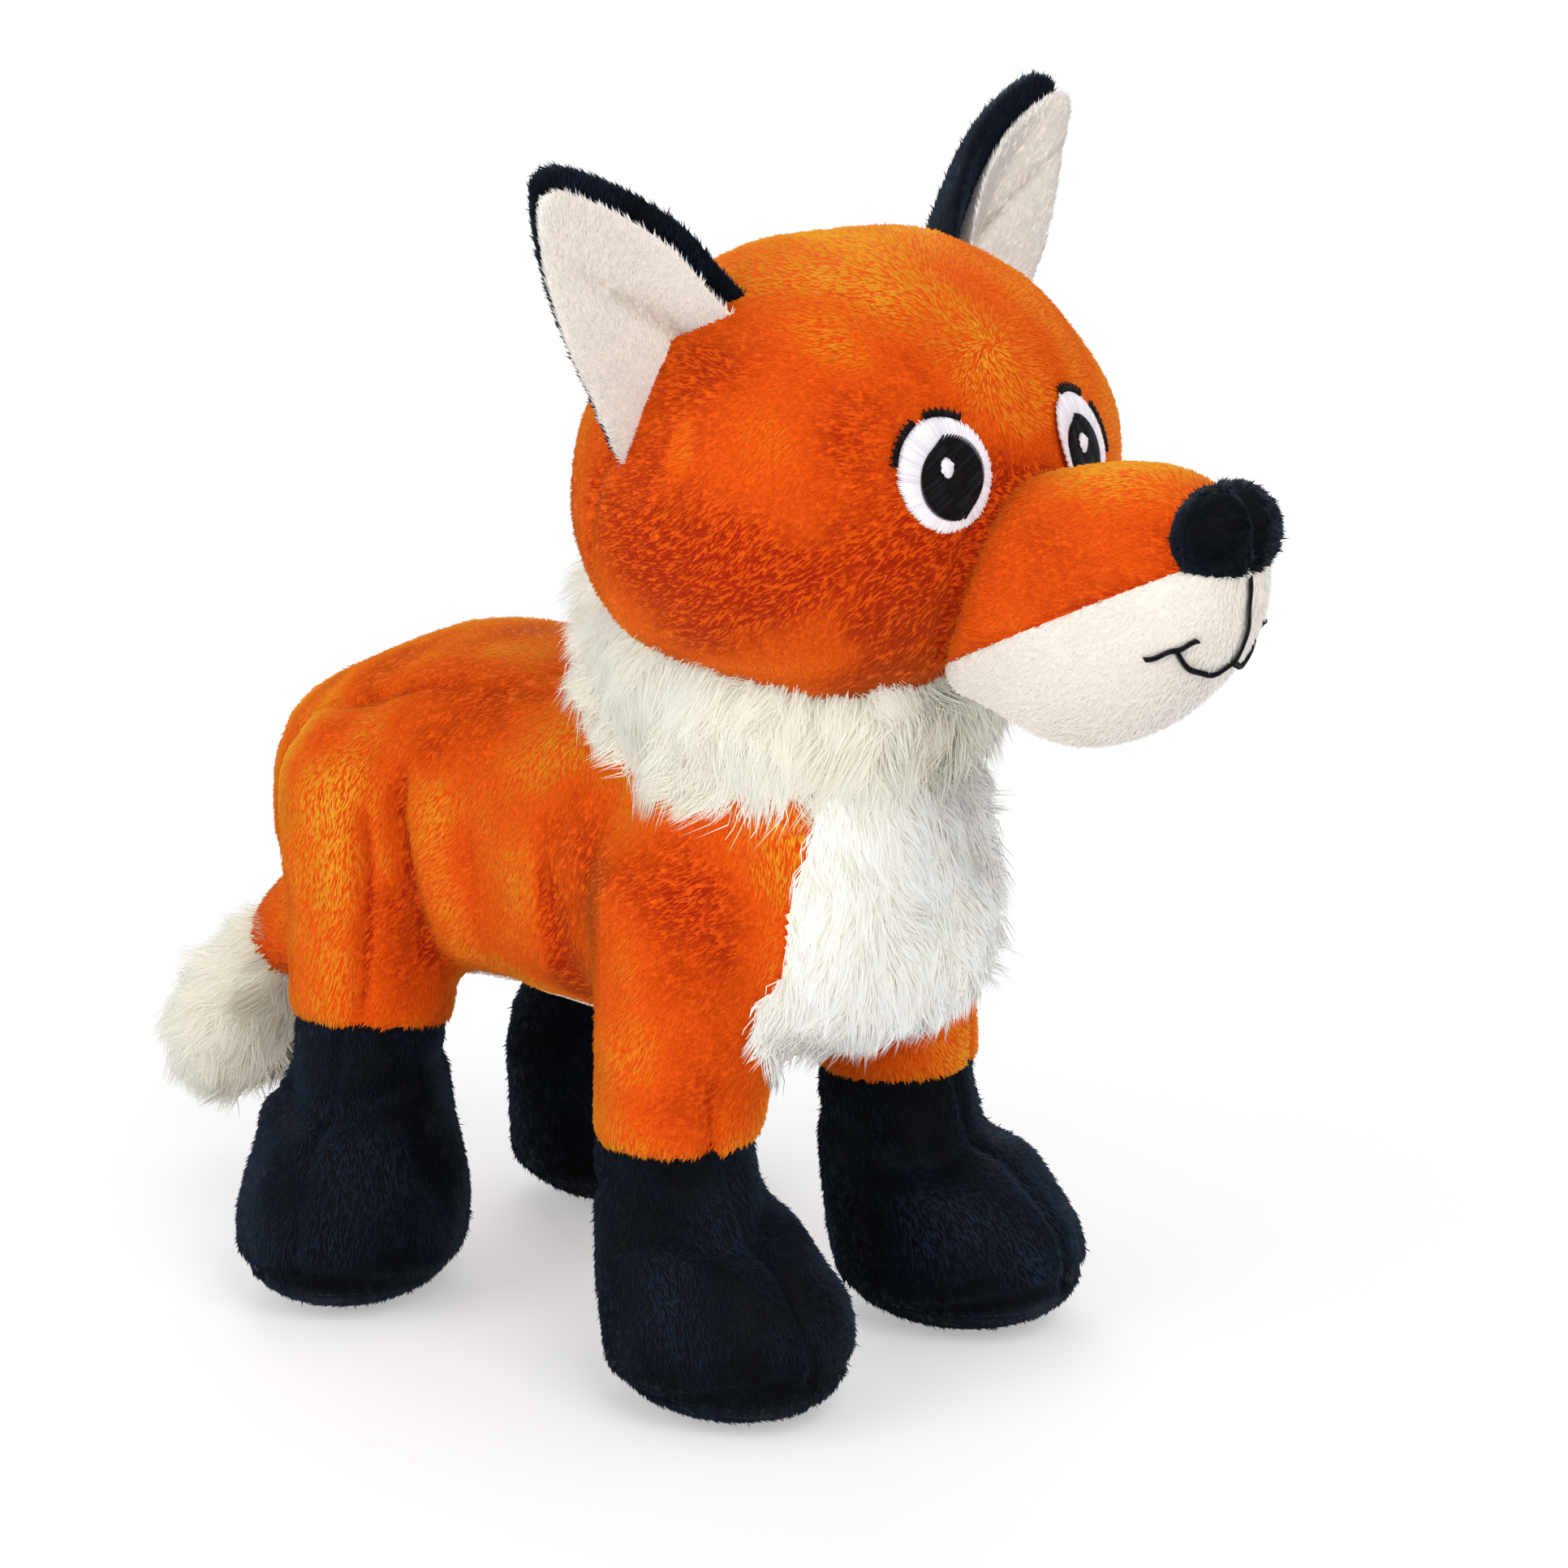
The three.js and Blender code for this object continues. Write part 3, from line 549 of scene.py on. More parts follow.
GROWTH = Growth()


def pile_skin(
    skin: Skin,
    pile: Pile,
    lie: np.ndarray,
    weight: np.ndarray,
    seed: int,
    inside: Level | None = None,
    light: Level | None = None,
    stretch: Level | None = None,
) -> Skin:
    """Grows a pile on a skin as separate tapered fibres.

    A fibre starts just under the cloth and leans from the normal towards the lie of the pile. A jointed
    fibre has a second, drooping half. Tips in one lock are drawn to the tip of the lock's leading fibre.

    Args:
        skin: The cloth.
        pile: How it grows.
        lie: The lie of the pile at each vertex of the skin.
        weight: How dense each triangle's pile is, from 0 to 1.
        seed: Starts the random draws.
        inside: From roots to a share, above one half where a fibre may grow, or None for everywhere.
        light: From roots to the painted light and shade: how much lighter or, below zero, darker the pile is,
            or None for even.
        stretch: From roots to how many times longer the pile is, or None for even.

    Returns:
        A skin of all the fibres, whose uv holds each fibre's tone and the place along it.
    """
    rng = np.random.default_rng(seed)
    area = (np.linalg.norm(skin.crosses(), axis=1) / 2 * weight).sum() / MM**2
    count = int(area * pile.density * (1.0))
    roots, normals = skin.sample(count, weight, rng)
    if inside is not None:
        kept = inside(roots) > 0.5
        roots, normals, count = roots[kept], normals[kept], int(kept.sum())
    nearest = nearest_vertex(skin, roots)
    flow = unit(lie[nearest] - normals * np.einsum("ij,ij->i", lie[nearest], normals)[:, None])
    patches, tall = int(pile.patch / MM), roots * np.array([1.0, 1.0, 0.6])
    broad, fine = mottle(tall, pile.patch, patches), mottle(tall, pile.patch / 3, patches + 2)
    wander = ((broad + GROWTH.fine * fine) * pile.brushed)[:, None]
    up = rng.uniform(size=count) < pile.strays
    stray = rng.normal(size=(count, 3)) * (pile.spread * np.where(up, GROWTH.stray_spread, 1.0))[:, None]
    cross = np.cross(normals, flow)
    lean = pile.lean * np.where(up, GROWTH.stray_lean, 1.0) + GROWTH.tilt * broad
    lean = np.clip(lean, 0, 0.96)[:, None]
    heading = unit(normals * (1 - lean) + flow * lean + cross * wander * lean + stray)
    length = pile.length * rng.uniform(*GROWTH.lengths, count)
    if stretch is not None:
        length = length * stretch(roots)
    start = roots - normals * GROWTH.depth
    if pile.jointed:
        middle = start + heading * (length * 0.5)[:, None]
        second = unit(heading + flow * pile.droop + rng.normal(size=(count, 3)) * pile.spread * 0.5)
        tip = middle + second * (length * 0.5)[:, None]
    else:
        middle = None
        tip = start + heading * length[:, None]
    tone = 0.5 + pile.marks * (broad + 0.35 * fine) + rng.normal(size=count) * GROWTH.noise
    # painted light and shade shift each fibre's tone
    if light is not None:
        tone = tone + light(roots)
    tone = np.clip(tone, 0.02, 0.98)
    if pile.lock > 0:
        leaders = int(area * MM**2 / pile.lock**2)
        leader = nearest_of(roots, roots[:leaders])
        pull = pile.pull * rng.uniform(0.75, 1.0, (count, 1))
        apart = roots - roots[leader]
        tip = tip * (1 - pull) + (tip[leader] + apart * GROWTH.crowd) * pull
        if middle is not None:
            held = pull * GROWTH.hold
            middle = middle * (1 - held) + (middle[leader] + apart * 0.5) * held
        tone = (1 - GROWTH.blend) * tone + GROWTH.blend * tone[leader]
    return fibres(start, middle, tip, pile.width * rng.uniform(*GROWTH.widths, count), tone, normals)


def nearest_vertex(skin: Skin, roots: np.ndarray) -> np.ndarray:
    """For each root, the number of a vertex close to it, found on a grid of cells a few millimetres wide."""
    cell = 4 * MM
    low = skin.points.min(axis=0) - cell
    span = np.ceil((skin.points.max(axis=0) - low) / cell).astype(int) + 2
    stride = np.array([span[1] * span[2], span[2], 1])
    keys = ((skin.points - low) / cell).astype(int) @ stride
    table = np.full(int(np.prod(span)), -1)
    table[keys] = np.arange(len(keys))
    wanted = np.clip(((roots - low) / cell).astype(int), 0, span - 1) @ stride
    found = table[wanted]
    for shift in [s * d for d in (1, 2) for s in (*stride, *-stride)]:
        missing = found < 0
        found[missing] = table[np.clip(wanted[missing] + shift, 0, len(table) - 1)]
    return np.where(found < 0, 0, found)


def nearest_of(points: np.ndarray, leaders: np.ndarray) -> np.ndarray:
    """For each point, the number of the nearest leader, worked out a block at a time."""
    result = np.empty(len(points), int)
    size = (leaders**2).sum(axis=1)
    for first in range(0, len(points), 4096):
        block = points[first : first + 4096]
        result[first : first + 4096] = np.argmin(size[None, :] - 2 * block @ leaders.T, axis=1)
    return result


def fibres(
    start: np.ndarray,
    middle: np.ndarray | None,
    tip: np.ndarray,
    width: np.ndarray,
    tone: np.ndarray,
    normals: np.ndarray,
) -> Skin:
    """Closed three-sided fibres from their lines.

    Args:
        start: The root of each fibre.
        middle: The bend of each fibre, or None for straight ones.
        tip: The tip of each fibre.
        width: The width at each root.
        tone: The tone of each fibre, from 0 to 1.
        normals: The cloth's normal at each root.
    """
    count = len(start)
    along = unit(tip - start)
    side = unit(np.cross(along, normals + along[:, [1, 2, 0]] * 0.01))
    other = np.cross(along, side)
    rings = [(start, 1.0, 0.0)] if middle is None else [(start, 1.0, 0.0), (middle, 0.72, 0.5)]
    points, shade, along_share = [], [], []
    for centre, share, place in rings:
        for k in range(3):
            angle = 2 * math.pi * k / 3
            offset = side * math.cos(angle) + other * math.sin(angle)
            points.append(centre + offset * (width * share / 2)[:, None])
            shade.append(unit(normals + offset * ROUNDNESS))
            along_share.append(place)
    points.append(tip)
    shade.append(normals)
    along_share.append(1.0)
    corners = len(points)
    pattern = [(0, 2, 1)]
    last = (len(rings) - 1) * 3
    for k in range(3):
        n = (k + 1) % 3
        if middle is not None:
            pattern += [(k, n, 3 + n), (k, 3 + n, 3 + k)]
        pattern.append((last + k, last + n, corners - 1))
    faces = np.arange(count)[:, None, None] * corners + np.array(pattern)[None]
    uv = np.stack(np.broadcast_arrays(tone[:, None], np.array(along_share)[None, :]), axis=-1)
    points, shade = (np.stack(rows, axis=1).reshape(-1, 3) for rows in (points, shade))
    return Skin(points, faces.reshape(-1, 3), uv.reshape(-1, 2), shade)


def threads(paths: np.ndarray, normals: np.ndarray, width: float, height: float, tone: np.ndarray) -> Skin:
    """Stitches: closed flattened tubes with six sides along short paths.

    Args:
        paths: The centre line of each stitch, n by k by 3.
        normals: The cloth's normal at each point of each stitch.
        width: A thread's width.
        height: A thread's height.
        tone: The tone of each stitch, from 0 to 1.
    """
    count, length = paths.shape[:2]
    along = unit(np.gradient(paths, axis=1))
    side = unit(np.cross(along, normals))
    over = unit(np.cross(side, along))
    angle = np.arange(6) * math.pi / 3
    taper = np.ones(length)
    taper[[0, -1]] = 0.35
    ring = (
        side[:, :, None] * (np.cos(angle) * width / 2)[None, None, :, None]
        + over[:, :, None] * (np.sin(angle) * height / 2)[None, None, :, None]
    )
    points = paths[:, :, None] + ring * taper[None, :, None, None]
    number = np.arange(length * 6).reshape(length, 6)
    near, far = number[:-1], number[1:]
    sides = np.stack([near, np.roll(near, -1, 1), np.roll(far, -1, 1)], -1).reshape(-1, 3)
    others = np.stack([near, np.roll(far, -1, 1), far], -1).reshape(-1, 3)
    caps = np.array([(0, k + 1, k) for k in range(1, 5)])
    ends = caps[:, ::-1] + (length - 1) * 6
    pattern = np.vstack([sides, others, caps[:, ::-1], ends[:, ::-1]])
    faces = np.arange(count)[:, None, None] * length * 6 + pattern[None]
    place = np.repeat(np.linspace(0, 1, length), 6)
    uv = np.stack(np.broadcast_arrays(tone[:, None], place[None, :]), axis=-1)
    skin = Skin(points.reshape(-1, 3), faces.reshape(-1, 3), uv.reshape(-1, 2))
    return skin.outward()


def preset(node: bpy.types.Node, **values: float | tuple[float, ...]) -> bpy.types.Node:
    """Sets inputs of a shader node, named with _ for each space, and returns the node."""
    for name, value in values.items():
        node.inputs[name.replace("_", " ")].default_value = value
    return node


def wire(
    tree: bpy.types.NodeTree, *links: tuple[bpy.types.Node, str | int, bpy.types.Node, str | int]
) -> None:
    """Joins shader nodes. Each link is a node and its output, then a node and its input."""
    for source, output, target, entry in links:
        tree.links.new(source.outputs[output], target.inputs[entry])


def linear(code: str) -> tuple[float, float, float, float]:
    """A web colour as linear red, green, blue and full opacity."""
    values = [int(code[k : k + 2], 16) / 255 for k in (0, 2, 4)]
    return tuple(v / 12.92 if v <= 0.04045 else ((v + 0.055) / 1.055) ** 2.4 for v in values) + (1.0,)


@dataclass(frozen=True)
class Plush:
    """A plush cloth's finish.

    Attributes:
        name: The finish's name.
        slot: The record's material slot that goes with it.
        deep: The colour of the darkest fibres, and painted shade down among the fibres, in place of the
            shadows that fibres cast.
        body: The usual colour of the pile.
        bright: The colour of the lightest fibres.
        sheen: The strength of the soft rim of light.
        tint: The colour of that rim.
        roughness: The roughness of a fibre.
    """

    name: str
    slot: Slot
    deep: str
    body: str
    bright: str
    sheen: float
    tint: str
    roughness: float = 0.75

    def shader(self, kind: str) -> tuple[bpy.types.Material, bpy.types.NodeTree, bpy.types.Node]:
        """A new material with its sockets set, its node tree and its main shader."""
        material = bpy.data.materials.new(f"{self.name}_{kind}")
        material.use_nodes = True
        tree = material.node_tree
        main = preset(tree.nodes["Principled BSDF"], Roughness=self.roughness, Specular_IOR_Level=0.06)
        preset(main, Sheen_Weight=self.sheen, Sheen_Roughness=0.45, Sheen_Tint=linear(self.tint))
        return material, tree, main

    def ramp(self, tree: bpy.types.NodeTree, middle: float) -> bpy.types.Node:
        """A colour ramp from the deep colour through the body colour, at the middle, to the bright one."""
        ramp = tree.nodes.new("ShaderNodeValToRGB")
        stops = ramp.color_ramp.elements
        stops[0].position, stops[0].color = 0.0, linear(self.deep)
        stops[1].position, stops[1].color = 1.0, linear(self.bright)
        stops.new(middle).color = linear(self.body)
        return ramp

    def pile(self) -> bpy.types.Material:
        """The finish of the fibres: toned by fibre, and deeper towards the root as painted shade among the
        fibres.
        """
        material, tree, main = self.shader("pile")
        place = tree.nodes.new("ShaderNodeUVMap")
        place.uv_map = UV_NAME
        parts = tree.nodes.new("ShaderNodeSeparateXYZ")
        ramp = self.ramp(tree, 0.45)
        mix = tree.nodes.new("ShaderNodeMix")
        mix.data_type = "RGBA"
        preset(mix, A=linear(self.deep))
        # painted shade: a fibre's root takes half the deep colour, and none from seven tenths of its length
        # on
        rise = preset(tree.nodes.new("ShaderNodeMapRange"), From_Max=0.7, To_Min=0.5)
        wire(
            tree,
            (place, "UV", parts, "Vector"), (parts, "X", ramp, "Fac"), (parts, "Y", rise, "Value"),
            (rise, "Result", mix, "Factor"), (ramp, "Color", mix, "B"), (mix, "Result", main, "Base Color"),
        )
        return material

    def cloth(self) -> bpy.types.Material:
        """The finish of the cloth under the fibres: tufts from a fine noise, and its bump. Its tufts are a
        random tone, held mostly darker than the pile as painted shade under the fibres.
        """
        material, tree, main = self.shader("cloth")
        place = tree.nodes.new("ShaderNodeTexCoord")
        tufts = preset(tree.nodes.new("ShaderNodeTexNoise"), Scale=900.0, Detail=5.0)
        # painted shade: with the body colour at 0.75 of the ramp, most of the cloth lies between the deep and
        # the body colour
        ramp = self.ramp(tree, 0.75)
        bump = preset(tree.nodes.new("ShaderNodeBump"), Strength=0.5, Distance=0.6 * MM)
        wire(
            tree,
            (place, "Object", tufts, "Vector"), (tufts, "Fac", ramp, "Fac"), (tufts, "Fac", bump, "Height"),
            (ramp, "Color", main, "Base Color"), (bump, "Normal", main, "Normal"),
        )
        return material


@dataclass(frozen=True)
class Finishes:
    """Every plush and thread finish of the fox."""

    orange: Plush = Plush("orange", Slot.ORANGE, "A01A04", "EE5C09", "FFB22E", 0.7, "FFA838")
    cream: Plush = Plush("cream", Slot.CREAM, "D2C6B6", "F8F3EB", "FFFCF7", 0.2, "FFFFFF")
    ivory: Plush = Plush("ivory", Slot.CREAM_PILE, "ECE3C4", "FBF8E8", "FFFFFC", 0.35, "FFFFFF")
    black: Plush = Plush("black", Slot.BLACK, "000103", "03060D", "1E2C3E", 0.2, "6F8AA8", 0.6)
    # The threads use the pile's material too, so each stitch's first end takes half of its deep colour as
    # painted shade; the white thread's deep lavender grey is the shade on the eye's ring.
    white_thread: Plush = Plush(
        "white_thread", Slot.WHITE_THREAD, "D9D4E2", "F2EFF7", "FFFFFF", 0.1, "FFFFFF", 0.45
    )
    black_thread: Plush = Plush(
        "black_thread", Slot.BLACK_THREAD, "050507", "0C0C10", "24242A", 0.05, "A0A0B0", 0.4
    )


class Workshop:
    """Loads the frame and turns skins into pieces that ride on it.

    Attributes:
        offset: From the pattern's own place to the frame's.
        finishes: The finishes, from which materials are made once.
    """

    def __init__(self) -> None:
        """Loads the frame and finds where its neck lies."""
        self.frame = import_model()
        turn = next(joint for joint in self.frame["joints"] if joint["name"] == "head_turn")
        self.offset = np.array(turn["pos_m"]) - NECK
        self.finishes = Finishes()
        self.materials: dict[tuple[str, str], bpy.types.Material] = {}

    def material(self, finish: Plush, kind: str) -> bpy.types.Material:
        """The finish's material of one kind, pile or cloth, made the first time it is asked for."""
        key = (finish.name, kind)
        if key not in self.materials:
            self.materials[key] = finish.pile() if kind == "pile" else finish.cloth()
        return self.materials[key]

    def piece(
        self,
        name: str,
        skin: Skin,
        finish: Plush,
        body: Body | None,
        replaces: tuple[str, ...] = (),
        slot: Slot | None = None,
    ) -> bpy.types.Object:
        """Makes an object of a skin. Fibres cast no shadows, because real ones let most of the light through.

        Args:
            name: The piece's name.
            skin: Its mesh, in the pattern's own place.
            finish: Its finish: a skin with uv gets the pile's, any other the cloth's.
            body: The body it rides on, or None where the caller blends it.
            replaces: The CAD nodes that it stands for.
            slot: The record's material slot, or None for the finish's own; the piece does not use it.
        """
        slot = slot or finish.slot
        mesh = bpy.data.meshes.new(name)
        points = skin.points + self.offset
        mesh.vertices.add(len(points))
        mesh.vertices.foreach_set("co", points.astype(np.float32).ravel())
        mesh.loops.add(skin.faces.size)
        mesh.loops.foreach_set("vertex_index", skin.faces.astype(np.int32).ravel())
        mesh.polygons.add(len(skin.faces))
        mesh.polygons.foreach_set("loop_start", np.arange(0, skin.faces.size, 3, dtype=np.int32))
        if skin.uv is not None:
            layer = mesh.uv_layers.new(name=UV_NAME)
            layer.data.foreach_set("uv", skin.uv[skin.faces.ravel()].astype(np.float32).ravel())
        mesh.update(calc_edges=True)
        mesh.validate()
        mesh.shade_smooth()
        if skin.shade is not None:
            mesh.normals_split_custom_set_from_vertices(skin.shade.tolist())
        obj = linked(name, mesh)
        mesh.materials.append(self.material(finish, "cloth" if skin.uv is None else "pile"))
        if body is not None:
            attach(obj, body.value)
        if replaces:
            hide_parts(*replaces)
        obj.visible_shadow = skin.shade is None
        log.info("%s: %d triangles", name, len(skin.faces))
        return obj

    def at(self, point: np.ndarray) -> tuple[float, float, float]:
        """A point of the pattern in the frame's place."""
        return tuple(float(v) for v in point + self.offset)


SHORT = Pile(
    density=1.65, length=2.2 * MM, width=0.63 * MM, lean=0.74, spread=0.08, lock=1.8 * MM, pull=0.25,
    brushed=0.6, patch=30 * MM, marks=0.35,
)
SOCK_PILE = Pile(density=1.4, length=2.3 * MM, width=0.6 * MM, lean=0.74, spread=0.12, strays=0.04, marks=0.3)
LINING_PILE = Pile(
    density=2.2, length=2.4 * MM, width=0.5 * MM, lean=0.76, spread=0.08, brushed=0.25, marks=0.08,
)
LONG = Pile(
    density=1.9, length=15 * MM, width=0.42 * MM, lean=0.74, spread=0.2, droop=0.3, lock=4.5 * MM, pull=0.72,
    jointed=True, brushed=1.3, patch=13 * MM, strays=0.12,
)
BIB_PILE = Pile(
    density=1.9, length=11 * MM, width=0.42 * MM, lean=0.76, spread=0.16, droop=0.3, lock=4 * MM, pull=0.62,
    jointed=True, brushed=1.1, patch=12 * MM, strays=0.08,
)


@dataclass
class Leg:
    """One leg: where it stands and how its boot points.

    Attributes:
        name: front or hind, and right or left.
        side: -1 on the right and 1 on the left.
        y: Where its middle lies, front to back.
        hem_z: The height of the sleeve's hem.
        splay: How far the toe turns out, in radians.
        reach: How far the toe reaches ahead of the ankle.
        shoulder: Where the sleeve's form begins, inside the torso, for the left side.
        x: How far its middle lies from the fox's own.
        sleeve_radius: The sleeve's radius.
        boot_half_width: Half the boot's width.
        boot_half_length: Half its length.
        seam_z: How high the sole seam runs at the heel, and seam_lift how much higher near the toe.
        sole_round: How high the sole's rounding begins.
        ankle: How far below the hem the ankle's fold lies.
    """

    name: str
    side: float
    y: float
    hem_z: float
    splay: float
    reach: float
    shoulder: np.ndarray
    x: float = 38 * MM
    sleeve_radius: float = 21 * MM
    boot_half_width: float = 27 * MM
    boot_half_length: float = 33 * MM
    seam_z: float = 8 * MM
    seam_lift: float = 3.5 * MM
    sole_round: float = 13 * MM
    ankle: float = 17 * MM

    @property
    def toe(self) -> np.ndarray:
        """The direction that the toe points in."""
        return np.array([self.side * math.sin(self.splay), -math.cos(self.splay), 0.0])

    @property
    def sideways(self) -> np.ndarray:
        """The direction across the boot."""
        return np.cross(Z, self.toe)

    def sleeve(self) -> Skin:
        """The sleeve's form, from inside the torso to the hem."""
        foot = np.array([self.side * self.x, self.y, self.hem_z - 2.5 * MM])
        top = self.shoulder * np.array([self.side, 1, 1])
        rows = [(0.9, 1.0), (1.22, 1.3), (1.16, 1.2), (1.04, 1.06), (0.99, 1.0), (0.98, 0.98)]
        radius, shares = self.sleeve_radius, [(*row, 0) for row in rows]
        return Swell(top, foot, radius, radius, self.sideways, shares, 0.05).skin(48, 64)

    def boot(self) -> Skin:
        """The boot's skin: seams pulled in at the sole and down the front, and soft ankle folds."""
        start = np.array([self.side * self.x, self.y, self.hem_z + 6 * MM])
        end = np.array([self.side * self.x, self.y, 0.0])
        shares = [
            (0.73, 0.6, 0), (0.71, 0.6, 0), (0.8, 0.75, 0.36),
            (0.96, 0.95, 0.86), (1.02, 1.02, 1), (1.01, 1.0, 1),
        ]
        form = Swell(
            start, end, self.boot_half_width, self.boot_half_length, self.sideways, shares, 0.16,
            bend=self.toe * self.reach, crowding=1.6,
        )
        skin = form.skin(72, 104)
        axis = end + self.toe * self.reach
        dip = np.clip(1 - skin.points[:, 2] / self.sole_round, 0, 1)
        drawn = self.sole_round * (1 - np.sqrt(1 - dip**2)) / self.boot_half_width
        skin.points[:, :2] += (axis - skin.points)[:, :2] * drawn[:, None]
        p, z = skin.points, skin.points[:, 2]
        ahead, across = self.ahead(p), (p - start) @ self.sideways
        front = rising(5, 16, ahead)
        inward = 1.8 * MM * bell(across, 1.5) * front * rising(10, 16, z)
        above = self.above_seam(p)
        inward += 1.2 * MM * bell(above, 1.4) + 1.2 * MM * falling(-2, 1, above)
        ankle = self.hem_z - self.ankle + 2.5 * MM * np.sin(across / (7 * MM) + self.side)
        inward += 3.2 * MM * bell(z - ankle, 4) * front
        inward -= 1.6 * MM * bell(z - ankle + 8 * MM, 5) * front
        inward += 1.4 * MM * bell(z - ankle - 4 * MM, 3) * (1 - front)
        inward -= 1.0 * MM * mottle(p, 24 * MM, 11) * rising(6, 14, z)
        return skin.raised(-inward * smoothstep(0, 1.5 * MM, z))

    def ahead(self, p: np.ndarray) -> np.ndarray:
        """How far ahead of the ankle each place lies."""
        return (p - np.array([self.side * self.x, self.y, 0])) @ self.toe

    def above_seam(self, p: np.ndarray) -> np.ndarray:
        """How far above the seam between the sock and the sole each place lies."""
        rise = self.seam_lift * np.clip(self.ahead(p) / self.boot_half_length, 0, 1.6) ** 2
        return p[:, 2] - self.seam_z - rise

    def light(self, p: np.ndarray) -> np.ndarray:
        """How much lighter the pile is: painted shade in the sole seam, and a painted highlight above the
        toe.
        """
        toe = rising(8, 26, self.ahead(p)) * rising(12, 24, p[:, 2])
        return 0.22 * toe - 0.6 * bell(self.above_seam(p), 1.8)


@dataclass
class Torso:
    """The body: an orange coat with sleeves, a belly panel and a chest bib.

    Attributes:
        front: Where the torso's form begins.
        rear: Where it ends.
        half_width: Half its width.
        half_height: Half its height.
        arch: How far its back is arched.
        shoulder_radius: The radius of the ball that carries the neck.
        gusset_rear: Half the back gusset's width at the rump.
        gusset_front: The same at the withers.
        gusset_from_y: Where the gusset begins to widen.
        gusset_to_y: Where it is at its widest.
        belly_half_width: Half the belly panel's width.
        belly_share: How much of that it keeps between the legs.
        belly_z: The middle of the heights that the belly panel covers.
        bib_bottom_z: The lower edge of the bib.
        bib_height: The height over which the bib's width changes.
        bib_front_y: How far back the bib reaches.
        dart_y: Where the dart on a hind sleeve runs.
        crease_y: Where the crease between a haunch and the flank runs.
        sleeve_dart_x: Where the dart on a front sleeve runs.
        pile_split_y: Where the coat's pile is split into front and rear pieces.
        voxel: The size of a voxel where the coat's forms are joined.
    """

    front: np.ndarray = millimetres(0, -87.5, 116)
    rear: np.ndarray = millimetres(0, 112, 116)
    half_width: float = 45 * MM
    half_height: float = 41 * MM
    arch: float = 5 * MM
    shoulder_radius: float = 43.5 * MM
    gusset_rear: float = 34 * MM
    gusset_front: float = 16 * MM
    gusset_from_y: float = -22 * MM
    gusset_to_y: float = 61 * MM
    belly_half_width: float = 24 * MM
    belly_share: float = 0.42
    belly_z: float = 83 * MM
    bib_bottom_z: float = 72 * MM
    bib_height: float = 88 * MM
    bib_front_y: float = -52 * MM
    dart_y: float = 49.5 * MM
    crease_y: float = 41.5 * MM
    sleeve_dart_x: float = 45 * MM
    pile_split_y: float = 8 * MM
    voxel: float = 2.4 * MM

    def legs(self) -> list[Leg]:
        """The four legs."""
        front = dict(
            y=-44 * MM, hem_z=63 * MM, splay=0.12, reach=18 * MM, shoulder=np.array([25, -42, 138]) * MM
        )
        hind = dict(y=61 * MM, hem_z=68 * MM, splay=1.2, reach=12 * MM, shoulder=np.array([24, 66, 140]) * MM)
        return [
            Leg(f"{place}_{name}", side, **sizes)
            for place, sizes in (("front", front), ("hind", hind))
            for name, side in SIDES
        ]

    def form(self) -> Swell:
        """The torso's own form, without the sleeves."""
        shares = [(0.98, 0.92, -0.4), (1, 0.98, 0), (0.96, 0.98, 0.3), (1.02, 1.02, 0.3), (0.96, 0.88, -1.2)]
        sizes = self.half_width, self.half_height
        return Swell(self.front, self.rear, *sizes, X, shares, 0.42, 0.76, bend=Z * self.arch)

    def shoulder(self) -> Skin:
        """The ball at the shoulders that carries the neck."""
        r = self.shoulder_radius
        return round_form(NECK - Z * r, NECK + Z * r, r, (1, 1, 1), 1.0).skin(36, 48)

    def coat(self, legs: list[Leg]) -> Skin:
        """The coat: torso, shoulder ball and sleeves in one skin, soft where they meet, with its seams."""
        forms = [self.form().skin(60, 96), self.shoulder()] + [leg.sleeve() for leg in legs]
        skin = melted(forms, self.voxel)
        skin = skin.smoothed(14, 1 - 0.95 * falling(72, 78, skin.points[:, 2]))
        z = skin.points[:, 2]
        skin = skin.smoothed(34, rising(78, 90, z) * falling(140, 165, z))
        return skin.raised(-self.seams(skin.points, legs))

    def seams(self, p: np.ndarray, legs: list[Leg]) -> np.ndarray:
        """How far the coat is pulled in at each place: gusset seams, darts on the sleeves and soft folds."""
        depth = self.gusset_seam(p)
        for leg in legs:
            for fold in self.hind_folds(p, leg) if leg.name.startswith("hind") else self.front_folds(p, leg):
                depth += fold
        tall = p * np.array([1.0, 1.0, 0.45])
        lumps = 1.1 * MM * mottle(tall, 26 * MM, 5) + 0.3 * MM * mottle(p, 11 * MM, 6)
        return depth - lumps * rising(72, 84, p[:, 2])

    def gusset_seam(self, p: np.ndarray) -> np.ndarray:
        """How far the seam on each side of the back gusset is pulled in: less towards the withers."""
        x, y, z = np.abs(p[:, 0]), p[:, 1], p[:, 2]
        t = np.clip((y - self.gusset_from_y) / (self.gusset_to_y - self.gusset_from_y), 0, 1)
        edge = self.gusset_front + (self.gusset_rear - self.gusset_front) * t
        plain = 0.3 + 0.7 * rising(30, 62, y)
        depth = 2.0 * MM * bell(x - edge, 1.6) * rising(84, 94, z) * plain
        return depth * (y > self.gusset_from_y)

    def near_leg(self, p: np.ndarray, leg: Leg) -> tuple[np.ndarray, np.ndarray]:
        """How far out on the leg's side each place lies, and whether it is near that leg."""
        out = p[:, 0] * leg.side
        return out, (out > 12 * MM) & (np.abs(p[:, 1] - leg.y) < 40 * MM)

